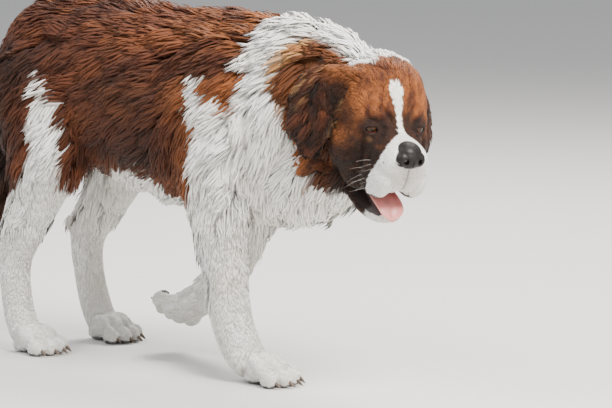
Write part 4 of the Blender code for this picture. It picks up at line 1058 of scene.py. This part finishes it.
def clumpPaths(roots, ups, tree):
    # seeds of locks, thinned to the clump size of their place, each with a path over the skin
    random = np.random.default_rng(tufts["seed"] + 1)
    mixed, zones = lieOfCoat(roots)
    order = random.permutation(len(roots))
    spacing = np.where(mixed[:, 3] < tufts["shortest"], tufts["spacing"][1], tufts["spacing"][0])
    share = np.minimum(1, (mixed[:, 4] * spacing / mixed[:, 6]) ** 2 * 1.15)
    kept = order[random.random(len(order)) < share[order]]
    way, length, lift, hang = mixed[kept, :3], mixed[kept, 3], mixed[kept, 5], mixed[kept, 7]
    sway = ripple(roots[kept], 0.16, 61) * 0.26 + random.normal(0, 0.13, len(kept))
    way = unit(way + np.cross(ups[kept], way) * sway[:, None])
    steps = tufts["steps"]
    line = np.empty((len(kept), steps + 1, 3))
    surface = np.empty_like(line)
    line[:, 0], surface[:, 0] = roots[kept], ups[kept]
    for k in range(1, steps + 1):
        up = surface[:, k - 1]
        ahead = unit(way - up * ((way * up).sum(axis=1) * (1 - hang))[:, None])
        spot = line[:, k - 1] + ahead * (length * 1.15 / steps)[:, None]
        free = hang * k / steps
        for i in range(len(kept)):
            nearest, normal, _, _ = tree.find_nearest(Vector(spot[i]))
            line[i, k] = np.array(nearest) * (1 - free[i]) + spot[i] * free[i]
            surface[i, k] = np.array(normal) * (1 - free[i]) + up[i] * free[i]
        surface[:, k] = unit(surface[:, k])
    return kept, line, surface, mixed[kept], zones[kept]


def growCoat(obj):
    roots, ups = spreadRoots(obj)
    tree = BVHTree.FromObject(obj, bpy.context.evaluated_depsgraph_get())
    kept, line, surface, mixed, zones = clumpPaths(roots, ups, tree)
    print("locks", len(kept))
    finder = KDTree(len(kept))
    for i, k in enumerate(kept):
        finder.insert(roots[k], i)
    finder.balance()
    own = np.empty(len(roots), int)
    for i, root in enumerate(roots):  # the nearest lock that faces the same way
        near = [found[1] for found in finder.find_n(root, 6)]
        own[i] = near[int(np.argmax(surface[near, 0] @ ups[i] > 0.3))]
    random = np.random.default_rng(tufts["seed"] + 2)
    count = len(roots)
    steps = tufts["steps"]
    values = mixed[own]
    long = rise(values[:, 3], 0.015, 0.06)
    reach = random.uniform(0.62, 1.0, count)
    short = values[:, 3] < tufts["shortest"]
    layer = random.uniform(0.25, 1.15, count) * (1 + 0.22 * random.normal(0, 1, len(kept))[own] * long).clip(0.5, 1.5)
    gather = (0.25 + 0.38 * long) * random.uniform(0.6, 1.2, count)
    offset = roots - line[own, 0]
    phase = random.uniform(0, 6.3, len(kept))[own]
    stray = random.normal(0, 0.10, count)
    rows = []
    for share, height in ((0.0, 0.0), (0.36, 0.62), (0.72, 0.98), (1.0, 1.0)):
        share = np.where(short, share + 0.10 * (share == 0.36), share)
        at = np.clip(share * reach, 0, 0.999) * steps
        low = at.astype(int)
        part = (at - low)[:, None]
        spot = line[own, low] * (1 - part) + line[own, low + 1] * part
        up = unit(surface[own, low] * (1 - part) + surface[own, low + 1] * part)
        ahead = unit(line[own, low + 1] - line[own, low])
        side = np.cross(ahead, up)
        close = np.clip(gather * share**1.2, 0, 0.85)[:, None]
        wave = np.sin(phase + 5.0 * share) * 0.0032 * long * share
        wave = wave + stray * values[:, 3] * share
        spot = spot + offset * (1 - close) + side * wave[:, None]
        for i in range(count if rows else 0):  # short tufts lie on the skin, long ones stay out of it
            nearest, normal, _, _ = tree.find_nearest(Vector(spot[i]))
            if short[i]:
                spot[i], up[i] = nearest, normal
            elif (Vector(spot[i]) - nearest).dot(normal) < 0.0006:
                spot[i] = nearest + normal * 0.0006
        if not rows:
            spot = roots - ups * (0.0015 + 0.003 * long)[:, None]
            up = ups
        spot = spot + up * (values[:, 5] * height * layer)[:, None]
        rows.append((spot, up))
    width = values[:, 4] * random.uniform(0.75, 1.2, count) * 0.5
    thick = width * (0.55 - 0.10 * long)
    made = np.empty((count, 8, 3))
    made[:, 0], made[:, 7] = rows[0][0], rows[3][0]
    for k, (before, after, share) in {1: (0, 2, 1.0), 2: (1, 3, 0.72)}.items():
        spot, up = rows[k]
        ahead = unit(rows[after][0] - rows[before][0])
        side = unit(np.cross(ahead, up))
        up = np.cross(side, ahead)
        wide, high = (width * share)[:, None], (thick * share)[:, None]
        made[:, 3 * k - 2] = spot - side * wide - up * high * 0.25
        made[:, 3 * k - 1] = spot + up * high
        made[:, 3 * k] = spot + side * wide - up * high * 0.25
    made[:, :, 2] = np.maximum(made[:, :, 2], 0.0008)
    colour = markings(rows[2][0], roots)
    spread = 0.20 - 0.15 * colour.mean(axis=1)
    colour = colour * (1 + spread * random.uniform(-1, 0.9, count))[:, None]
    lockShade = 1 + random.normal(0, 0.5, len(kept))[own] * spread
    ups = np.stack([rows[k][1] for k in (0, 1, 1, 1, 2, 2, 2, 3)], axis=1)
    return made, np.clip(colour * lockShade[:, None], 0, 1), zones[own], roots, short, ups


pattern = np.array(
    [(0, 2, 1), (0, 3, 2), (0, 1, 3), (1, 2, 5), (1, 5, 4), (2, 3, 6), (2, 6, 5), (3, 1, 4), (3, 4, 6),
     (4, 5, 7), (5, 6, 7), (6, 4, 7)]
)  # fmt: skip
strandOf = np.array([(0.5, 0), (0, 0.36), (0.5, 0.36), (1, 0.36), (0, 0.72), (0.5, 0.72), (1, 0.72), (0.5, 1)])
shortPattern = np.array([(0, 2, 1), (0, 3, 2), (0, 1, 3), (1, 2, 4), (2, 3, 4), (3, 1, 4)])
shortStrand = np.array([(0.5, 0), (0, 0.46), (0.5, 0.46), (1, 0.46), (0.5, 1)])


def unwrapped(points, zones):
    # the place of a root on an unwrap of the skin: each zone a chart of length and angle round its own axis
    local = toHead(points)
    x, y, z = points.T
    u, v = np.zeros(len(points)), np.zeros(len(points))
    turn = np.arctan2(y, z - 0.59) / (2 * math.pi) + 0.5
    charts = {"torso": (0.0, 0.0, 0.50, 0.42), "chest": (0.5, 0.0, 0.22, 0.42), "neck": (0.72, 0.0, 0.28, 0.30)}
    charts.update(tail=(0.72, 0.30, 0.28, 0.12), legs=(0.0, 0.42, 0.52, 0.30))
    charts.update(face=(0.0, 0.72, 0.40, 0.28), skull=(0.40, 0.72, 0.36, 0.28), ears=(0.76, 0.72, 0.24, 0.28))
    side = np.where(y > 0, 0.5, 0.0)
    legAxis = np.where(x > -0.18, 0.24, -0.34) + np.where((x > -0.18) & (y > 0), (z - 0.45) * 0.55, 0)
    legTurn = (np.arctan2(np.abs(y) - 0.105, x - legAxis) / (2 * math.pi) + 0.5) * 0.5
    spin = np.arctan2(local[:, 1], local[:, 2] + 0.02) / (2 * math.pi) + 0.5
    both = {
        "torso": ((x + 0.45) / 0.62, turn),
        "chest": ((x - 0.12) / 0.30, turn),
        "neck": ((x - 0.33) / 0.30, turn),
        "tail": ((0.80 - z) / 0.65, np.arctan2(y, x + 0.51) / (2 * math.pi) + 0.5),
        "legs": (z / 0.50 * 0.5 + np.where(x > -0.18, 0.5, 0.0), legTurn + side),
        "face": ((local[:, 0] + 0.05) / 0.17, spin),
        "skull": ((local[:, 0] + 0.21) / 0.30, spin),
        "ears": ((local[:, 0] + 0.19) / 0.16 * 0.5 + side, (local[:, 2] + 0.14) / 0.26),
    }
    for name, (left, low, wide, high) in charts.items():
        here = zones == zoneNames.index(name)
        a, b = both[name]
        u[here] = left + wide * np.clip(a[here], 0.01, 0.99)
        v[here] = low + high * np.clip(b[here], 0.01, 0.99)
    return np.column_stack([u, v])


def tuftPiece(name, made, colour, patch, ups):
    count, corner = made.shape[:2]
    faces, strands = (pattern, strandOf) if corner == 8 else (shortPattern, shortStrand)
    mesh = bpy.data.meshes.new(name)
    mesh.vertices.add(count * corner)
    mesh.vertices.foreach_set("co", made.astype(np.float32).ravel())
    corners = (faces[None] + corner * np.arange(count)[:, None, None]).reshape(-1).astype(np.int32)
    mesh.loops.add(len(corners))
    mesh.loops.foreach_set("vertex_index", corners)
    mesh.polygons.add(count * len(faces))
    mesh.polygons.foreach_set("loop_start", np.arange(0, len(corners), 3, dtype=np.int32))
    mesh.update(calc_edges=True)
    obj = bpy.data.objects.new(name, mesh)
    bpy.context.scene.collection.objects.link(obj)
    setColours(obj, np.repeat(colour, corner, axis=0))
    layer = mesh.attributes.new("coatUp", "FLOAT_VECTOR", "POINT")
    layer.data.foreach_set("vector", ups.astype(np.float32).ravel())
    alongEach = np.tile(strands[faces.ravel()], (count, 1))
    bake = mesh.uv_layers.new(name="OFBake")
    spots = np.repeat(patch, faces.size, axis=0) + (alongEach - 0.5) * tufts["patch"]
    bake.data.foreach_set("uv", np.clip(spots, 0, 1).astype(np.float32).ravel())
    strand = mesh.uv_layers.new(name="strand")
    alongEach[:, 0] += np.repeat(np.arange(count) * 1.7 % 53, faces.size)
    strand.data.foreach_set("uv", alongEach.astype(np.float32).ravel())
    return finished(obj, coatFinish)


def dressCoat():
    made, colour, zones, roots, short, ups = growCoat(skin)
    patch = unwrapped(roots, zones)
    pieces = []
    for number, zone in enumerate(zoneNames):
        for kind, each in (("long", 12), ("short", 6)):
            here = np.flatnonzero((zones == number) & (short == (kind == "short")))
            parts = math.ceil(len(here) * each / tufts["perPiece"])
            for k in range(parts):
                some = np.array_split(here, parts)[k]
                keep = list(range(8)) if kind == "long" else [0, 1, 2, 3, 7]
                name = f"coat_{zone}_{kind}_{k + 1}"
                shape, up = made[some][:, keep], ups[some][:, keep]
                pieces.append(tuftPiece(name, shape, colour[some], patch[some], up))
            print("coat", zone, kind, len(here), "tufts")
    return pieces


coatPieces = dressCoat()


# The eyes: a ball with a raised cornea, lids round it
eyeFinish = {"iris": (0.028, 0.010, 0.004), "rim": (0.007, 0.004, 0.003), "white": (0.24, 0.17, 0.14)}


def eyeMaterial():
    material, tree, shader = newMaterial(
        "eye", Roughness=0.5, Specular_IOR_Level=0.0, Coat_Weight=1.0, Coat_Roughness=0.02, Coat_IOR=1.33
    )
    spot = addNode(tree, "ShaderNodeUVMap", uv_map="iris")
    centre = addNode(tree, "ShaderNodeVectorMath", operation="DISTANCE")
    centre.inputs[1].default_value = (0.5, 0.5, 0)
    ramp = tree.nodes.new("ShaderNodeValToRGB")
    streaks = addNode(tree, "ShaderNodeTexNoise", Scale=26.0, Detail=2.0)
    mixed = addNode(tree, "ShaderNodeMath", operation="MULTIPLY_ADD")
    mixed.inputs[1].default_value = 0.05
    stops = ramp.color_ramp
    stops.elements[0].position = 0.11
    stops.elements[0].color = (0.002, 0.002, 0.002, 1)
    stops.elements[1].position = 0.44
    stops.elements[1].color = (*eyeFinish["white"], 1)
    for position, colour in ((0.13, eyeFinish["iris"]), (0.27, (0.044, 0.016, 0.005)), (0.36, eyeFinish["rim"])):
        stops.elements.new(position).color = (*colour, 1)
    tree.links.new(spot.outputs[0], centre.inputs[0])
    tree.links.new(spot.outputs[0], streaks.inputs["Vector"])
    tree.links.new(streaks.outputs["Fac"], mixed.inputs[0])
    tree.links.new(centre.outputs["Value"], mixed.inputs[2])
    tree.links.new(mixed.outputs[0], ramp.inputs[0])
    tree.links.new(ramp.outputs[0], shader.inputs["Base Color"])
    return material


def makeEyes():
    finish = eyeMaterial()
    made = []
    for side, name in ((-1, "eyeRight"), (1, "eyeLeft")):
        size = head["eyeball"]
        shape = bmesh.new()
        bmesh.ops.create_uvsphere(shape, u_segments=40, v_segments=28, radius=1)
        shape.transform(Matrix.Rotation(math.radians(90), 4, "Y"))
        layer = shape.loops.layers.uv.new("iris")
        for face in shape.faces:
            for loop in face.loops:
                spot = loop.vert.co
                far = 0.5 if spot.x < 0 else math.hypot(spot.y, spot.z) / 2
                angle = math.atan2(spot.z, spot.y)
                loop[layer].uv = (0.5 + far * math.cos(angle), 0.5 + far * math.sin(angle))
        for vert in shape.verts:
            bulge = 0.06 * max(0, vert.co.x - 0.80) / 0.20
            vert.co *= size * (1 + bulge)
        shape.transform(gaze(side))
        mesh = bpy.data.meshes.new(name)
        shape.to_mesh(mesh)
        shape.free()
        obj = bpy.data.objects.new(name, mesh)
        bpy.context.scene.collection.objects.link(obj)
        mesh.shade_smooth()
        mesh.materials.append(finish)
        made.append(obj)
    return made


eyes = makeEyes()


def makeLids():
    # a dark wet rim round each opening, heavier and redder below
    shapes, reds = [], []
    for side in (-1, 1):
        rings = []
        for k in range(48):
            a = 2 * math.pi * k / 48
            low = math.sin(a) < 0
            y = lid["half"][0] * math.copysign(abs(math.cos(a)) ** 0.9, math.cos(a))
            z = lid["half"][1] * math.sin(a) * (1.10 if low else 1.0)
            tilt = math.radians(-side * lid["tilt"])
            y, z = y * math.cos(tilt) - z * math.sin(tilt), y * math.sin(tilt) + z * math.cos(tilt)
            x = math.sqrt(max(lid["ball"] ** 2 - y * y - z * z, 1e-9))
            centre = Vector((x - 0.0002, y, z))
            out = Vector((0, y, z)).normalized()
            front = Vector((x, y, z)).normalized()
            thick = lid["tube"] * (1.25 if low else 1.0)
            ring = []
            for i in range(8):
                b = 2 * math.pi * i / 8
                ring.append(gaze(side) @ (centre + (out * math.cos(b) + front * math.sin(b)) * thick))
                reds.append(max(0.0, -math.cos(b)) * (0.7 if low else 0.1))
            rings.append(ring)
        faces = []
        for k in range(48):
            for i in range(8):
                j, n = (i + 1) % 8, (k + 1) % 48
                faces.append((k * 8 + i, k * 8 + j, n * 8 + j, n * 8 + i))
        shapes.append(([p for ring in rings for p in ring], faces))
    obj = joined("lids", shapes)
    reds = np.array(reds)[:, None]
    setColours(obj, np.array((0.016, 0.010, 0.009)) * (1 - reds) + np.array((0.20, 0.045, 0.035)) * reds)
    material, tree, shader = newMaterial("lidRim", Roughness=0.65, Specular_IOR_Level=0.08)
    colour = addNode(tree, "ShaderNodeAttribute", attribute_name="coatColour")
    tree.links.new(colour.outputs["Color"], shader.inputs["Base Color"])
    return finished(obj, material)


lids = makeLids()


# Nose leather, with nostrils
def leatherGrain():
    # small cells, as a height and a shade, for nose leather and pads
    tree = bpy.data.node_groups.new("leatherGrain", "ShaderNodeTree")
    tree.interface.new_socket("Vector", in_out="INPUT", socket_type="NodeSocketVector")
    tree.interface.new_socket("Scale", in_out="INPUT", socket_type="NodeSocketFloat").default_value = 700
    tree.interface.new_socket("Shade", in_out="OUTPUT", socket_type="NodeSocketFloat")
    tree.interface.new_socket("Height", in_out="OUTPUT", socket_type="NodeSocketFloat")
    start = tree.nodes.new("NodeGroupInput")
    end = tree.nodes.new("NodeGroupOutput")
    cells = addNode(tree, "ShaderNodeTexVoronoi", feature="SMOOTH_F1")
    soft = addNode(tree, "ShaderNodeTexNoise", Scale=90.0, Detail=2.0)
    tree.links.new(start.outputs["Vector"], cells.inputs["Vector"])
    tree.links.new(start.outputs["Scale"], cells.inputs["Scale"])
    tree.links.new(start.outputs["Vector"], soft.inputs["Vector"])
    tree.links.new(cells.outputs["Distance"], end.inputs["Height"])
    tree.links.new(soft.outputs["Fac"], end.inputs["Shade"])
    return tree


leather = leatherGrain()


def leatherMaterial(name, dark, light, scale, depth, **settings):
    material, tree, shader = newMaterial(name, **settings)
    place = tree.nodes.new("ShaderNodeTexCoord")
    cells = tree.nodes.new("ShaderNodeGroup")
    cells.node_tree = leather
    cells.inputs["Scale"].default_value = scale
    mix = tree.nodes.new("ShaderNodeMix")
    mix.data_type = "RGBA"
    mix.inputs[6].default_value = (*dark, 1)
    mix.inputs[7].default_value = (*light, 1)
    bump = addNode(tree, "ShaderNodeBump", Strength=0.7, Distance=depth)
    bump.invert = True
    tree.links.new(place.outputs["Object"], cells.inputs["Vector"])
    tree.links.new(cells.outputs["Shade"], mix.inputs[0])
    tree.links.new(mix.outputs[2], shader.inputs["Base Color"])
    tree.links.new(cells.outputs["Height"], bump.inputs["Height"])
    tree.links.new(bump.outputs[0], shader.inputs["Normal"])
    return material


nose = {
    "voxel": 0.0012,
    "forms": [((0.093, 0, -0.026), (0.0230, 0.0285, 0.0220)), ((0.083, 0, -0.013), (0.0270, 0.0275, 0.0165))],
    "wing": ((0.096, 0.0190, -0.027), (0.0165, 0.0145, 0.0165)),
    "nostril": ((0.1100, 0.0150, -0.026), (0.0130, 0.0058, 0.0070)),
    "slit": ((0.102, 0.0290, -0.034), (0.0110, 0.0070, 0.0026)),
}


def makeNose():
    place = headMatrix()
    shapes = [ball(*nose["forms"][0], place), ball(*nose["forms"][1], place, (0, 8, 0))]
    for side in (-1, 1):
        (x, y, z), radii = nose["wing"]
        shapes.append(ball((x, side * y, z), radii, place))
    obj = fused("noseLeather", shapes, nose["voxel"], 12)
    for side in (-1, 1):
        (x, y, z), radii = nose["nostril"]
        boolean(obj, "DIFFERENCE", joined("hole", [ball((x, side * y, z), radii, place, (0, 0, side * 20))]))
        (x, y, z), radii = nose["slit"]
        turn = (side * 20, 0, side * 30)
        boolean(obj, "DIFFERENCE", joined("hole", [ball((x, side * y, z), radii, place, turn)]))
    groove = joined("hole", [ball((0.118, 0, -0.038), (0.0062, 0.0012, 0.018), place)])
    boolean(obj, "DIFFERENCE", groove)
    return finished(
        obj,
        leatherMaterial("noseLeather", (0.006, 0.005, 0.005), (0.018, 0.015, 0.014), 900, 0.0008,
                        Roughness=0.48, Specular_IOR_Level=0.12, Coat_Weight=0.13,
                        Coat_Roughness=0.22)
    )  # fmt: skip


noseLeather = makeNose()

tongue = {
    "rows": [
        (-0.070, -0.138, 0.026, 0.006),
        (-0.020, -0.148, 0.031, 0.007),
        (0.035, -0.154, 0.033, 0.007),
        (0.064, -0.160, 0.031, 0.006),
        (0.078, -0.169, 0.025, 0.005),
        (0.085, -0.178, 0.011, 0.004),
    ]
}


def makeTongue():
    place = headMatrix()
    rings = []
    for x, z, wide, thick in smoothRows(tongue["rows"], 8):
        ring = []
        for k in range(40):
            a = 2 * math.pi * k / 40
            groove = 0.0035 * math.exp(-((math.cos(a) / 0.20) ** 2)) if math.sin(a) > 0 else 0
            cup = 0.0022 * math.cos(a) ** 2
            ring.append(place @ Vector((x, wide * math.cos(a), z + thick * math.sin(a) - groove + cup)))
        rings.append(ring)
    obj = joined("tongueFlesh", [loft(rings)])
    return finished(
        obj,
        leatherMaterial("tongueFlesh", (0.62, 0.20, 0.19), (0.74, 0.30, 0.28), 1400, 0.0005,
                        Roughness=0.32, Subsurface_Weight=0.25, Coat_Weight=0.3, Coat_Roughness=0.12)
    )  # fmt: skip


tongueFlesh = makeTongue()

claw = {"length": 0.020, "half": 0.0056, "drop": 0.0095, "root": (0.017, 0.0200)}


def makeClaws():
    shapes = []
    for place in pawPlaces().values():
        for k in range(4):
            side = k - 1.5
            reach = paw["reach"] - 0.008 * side * side
            across = paw["toeGap"] * side * 1.08
            rings = []
            for step in range(9):
                t = step / 8
                x = reach + claw["root"][0] + claw["length"] * t
                z = claw["root"][1] - claw["drop"] * t**1.7 - 0.001 * t
                z = max(z, 0.0085 if t > 0.6 else z)
                size = claw["half"] * (1 - t) ** 0.46 + 0.0002
                ring = []
                for i in range(10):
                    a = 2 * math.pi * i / 10
                    ring.append(place @ Vector((x, across + size * 0.72 * math.cos(a), z + size * math.sin(a))))
                rings.append(ring)
            shapes.append(loft(rings))
    obj = joined("claws", shapes)
    return finished(
        obj,
        leatherMaterial("clawHorn", (0.055, 0.040, 0.030), (0.17, 0.125, 0.095), 220, 0.0003, Roughness=0.38)
    )


claws = makeClaws()


def makePads():
    shapes = []
    for place in pawPlaces().values():
        for k in range(4):
            side = k - 1.5
            reach = paw["reach"] - 0.008 * side * side
            spot = (reach - 0.004, paw["toeGap"] * side * 1.02, 0.0125)
            shapes.append(ball(spot, (0.0165, 0.0115, 0.0100), place, (0, 6, side * 5)))
        shapes.append(ball((0.038, 0, 0.0135), (0.0230, 0.0280, 0.0110), place))
    obj = fused("pads", shapes, 0.0022, 2)
    points = pointsOf(obj)
    points[:, 2] = np.maximum(points[:, 2], 0.0003)
    setPoints(obj, points)
    return finished(
        obj,
        leatherMaterial("padLeather", (0.020, 0.016, 0.015), (0.060, 0.046, 0.042), 520, 0.0008, Roughness=0.7)
    )


pads = makePads()

# Whiskers: guides given a thickness by Geometry Nodes
whisker = {"seed": 5, "perSide": 12, "length": (0.030, 0.060), "thickness": 0.00030, "sides": 5}


def whiskerTree():
    tree = bpy.data.node_groups.new("whiskers", "GeometryNodeTree")
    tree.interface.new_socket("Geometry", in_out="INPUT", socket_type="NodeSocketGeometry")
    thickness = tree.interface.new_socket("Thickness", in_out="INPUT", socket_type="NodeSocketFloat")
    thickness.default_value = whisker["thickness"]
    finish = tree.interface.new_socket("Finish", in_out="INPUT", socket_type="NodeSocketMaterial")
    tree.interface.new_socket("Geometry", in_out="OUTPUT", socket_type="NodeSocketGeometry")
    start = tree.nodes.new("NodeGroupInput")
    end = tree.nodes.new("NodeGroupOutput")
    curves = tree.nodes.new("GeometryNodeMeshToCurve")
    parameter = tree.nodes.new("GeometryNodeSplineParameter")
    taper = tree.nodes.new("ShaderNodeMapRange")
    taper.inputs["To Min"].default_value = 1.0
    taper.inputs["To Max"].default_value = 0.12
    radius = tree.nodes.new("ShaderNodeMath")
    radius.operation = "MULTIPLY"
    setRadius = tree.nodes.new("GeometryNodeSetCurveRadius")
    profile = tree.nodes.new("GeometryNodeCurvePrimitiveCircle")
    profile.inputs["Resolution"].default_value = whisker["sides"]
    profile.inputs["Radius"].default_value = 1.0
    sweep = tree.nodes.new("GeometryNodeCurveToMesh")
    sweep.inputs["Fill Caps"].default_value = True
    scale = sweep.inputs.get("Scale")
    realize = tree.nodes.new("GeometryNodeRealizeInstances")
    setFinish = tree.nodes.new("GeometryNodeSetMaterial")
    tree.links.new(start.outputs["Geometry"], curves.inputs[0])
    tree.links.new(parameter.outputs["Factor"], taper.inputs["Value"])
    tree.links.new(taper.outputs["Result"], radius.inputs[0])
    tree.links.new(start.outputs["Thickness"], radius.inputs[1])
    tree.links.new(radius.outputs[0], scale if scale else setRadius.inputs["Radius"])
    tree.links.new(curves.outputs[0], setRadius.inputs["Curve"])
    tree.links.new(setRadius.outputs[0], sweep.inputs["Curve"])
    tree.links.new(profile.outputs[0], sweep.inputs["Profile Curve"])
    tree.links.new(sweep.outputs[0], realize.inputs[0])
    tree.links.new(realize.outputs[0], setFinish.inputs["Geometry"])
    tree.links.new(start.outputs["Finish"], setFinish.inputs["Material"])
    tree.links.new(setFinish.outputs[0], end.inputs[0])
    return tree, thickness.identifier, finish.identifier


def makeWhiskers():
    random = np.random.default_rng(whisker["seed"])
    place = headMatrix()
    points, edges = [], []
    for side in (-1, 1):
        for k in range(whisker["perSide"]):
            row, column = k % 4, k // 4
            root = Vector((0.072 - 0.016 * column, side * (0.052 + 0.002 * column), -0.058 - 0.015 * row))
            wild = [float(v) for v in random.normal(0, 0.16, 3)]
            way = Vector((-0.15 - 0.25 * column + wild[0], side, -0.10 - 0.16 * row + wild[1])).normalized()
            length = random.uniform(*whisker["length"])
            start = len(points)
            for step in range(9):
                t = step / 8
                droop = Vector((-0.55, -0.25 * side, -0.45 + wild[2])) * t * t * length
                points.append(place @ (root + way * length * t + droop))
            edges += [(start + i, start + i + 1) for i in range(8)]
    mesh = bpy.data.meshes.new("whiskers")
    mesh.from_pydata([tuple(p) for p in points], edges, [])
    obj = bpy.data.objects.new("whiskers", mesh)
    bpy.context.scene.collection.objects.link(obj)
    finish = leatherMaterial("whiskerHair", (0.36, 0.32, 0.27), (0.84, 0.80, 0.74), 300, 0.0001, Roughness=0.4)
    nodes, thickness, material = whiskerTree()
    grow = obj.modifiers.new("whiskers", "NODES")
    grow.node_group = nodes
    grow[thickness] = whisker["thickness"]
    grow[material] = finish
    return applied(obj)


whiskers = makeWhiskers()
print("eyes, lids, nose, tongue, claws, pads and whiskers made")


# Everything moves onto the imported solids, and rides on them
flesh = ["torso", "neck", "head", "jaw", "ear_R", "ear_L", "tail"]
flesh += ["front_leg_R", "front_leg_L", "hind_leg_R", "hind_leg_L"]
for obj in [skin, *coatPieces, *eyes, lids, noseLeather, tongueFlesh, claws, pads, whiskers]:
    obj.data.transform(Matrix.Translation(shift))
    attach(obj, "root")
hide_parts(*flesh)
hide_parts("eye_R")
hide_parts("eye_L")
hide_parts("nose")
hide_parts("tongue")

# Floor, light and camera
studio = {
    "theta": 40, "height": 7, "target": (0.40, 0, 0.39), "far": 7.45, "lens": 200,
    "key": (78, 46, 5.0, 660, 2.2), "fill": (-35, 46, 6.0, 300, 4.0), "rim": (205, 52, 5.0, 420, 2.2),
    "catch": (66, 14, 4.0, 22, 0.45),
}  # fmt: skip


def around(theta, height):
    t, e = math.radians(theta), math.radians(height)
    return Vector((math.sin(t) * math.cos(e), -math.cos(t) * math.cos(e), math.sin(e)))


floor = meshObject("floor", [(-12, -12, 0), (12, -12, 0), (12, 12, 0), (-12, 12, 0)], [(0, 1, 2, 3)])
floorFinish, floorTree, floorShader = newMaterial("floor", Roughness=0.85, Base_Color=(0.62, 0.61, 0.59, 1))
floor.data.materials.append(floorFinish)

world = bpy.data.worlds.new("studio")
bpy.context.scene.world = world
world.use_nodes = True
world.node_tree.nodes["Background"].inputs["Color"].default_value = (0.86, 0.88, 0.92, 1)
world.node_tree.nodes["Background"].inputs["Strength"].default_value = 0.70
for name in ("key", "fill", "rim", "catch"):
    theta, height, far, power, size = studio[name]
    light = bpy.data.lights.new(name, "AREA")
    light.energy = power
    light.size = size
    light.color = (1.0, 0.95, 0.88) if name != "fill" else (0.92, 0.96, 1.0)
    lamp = bpy.data.objects.new(name, light)
    lamp.location = Vector((0.1, 0, 0.4)) + shift + around(theta, height) * far
    lamp.rotation_euler = around(theta, height).to_track_quat("Z", "Y").to_euler()
    bpy.context.scene.collection.objects.link(lamp)

cameraData = bpy.data.cameras.new("camera")
cameraData.lens = studio["lens"]
cameraData.sensor_width = 36
cameraData.clip_end = 60
camera = bpy.data.objects.new("camera", cameraData)
back = around(studio["theta"], studio["height"])
camera.location = Vector(studio["target"]) + shift + back * studio["far"]
camera.rotation_euler = back.to_track_quat("Z", "Y").to_euler()
bpy.context.scene.collection.objects.link(camera)
bpy.context.scene.camera = camera
print("floor, lights and camera set")
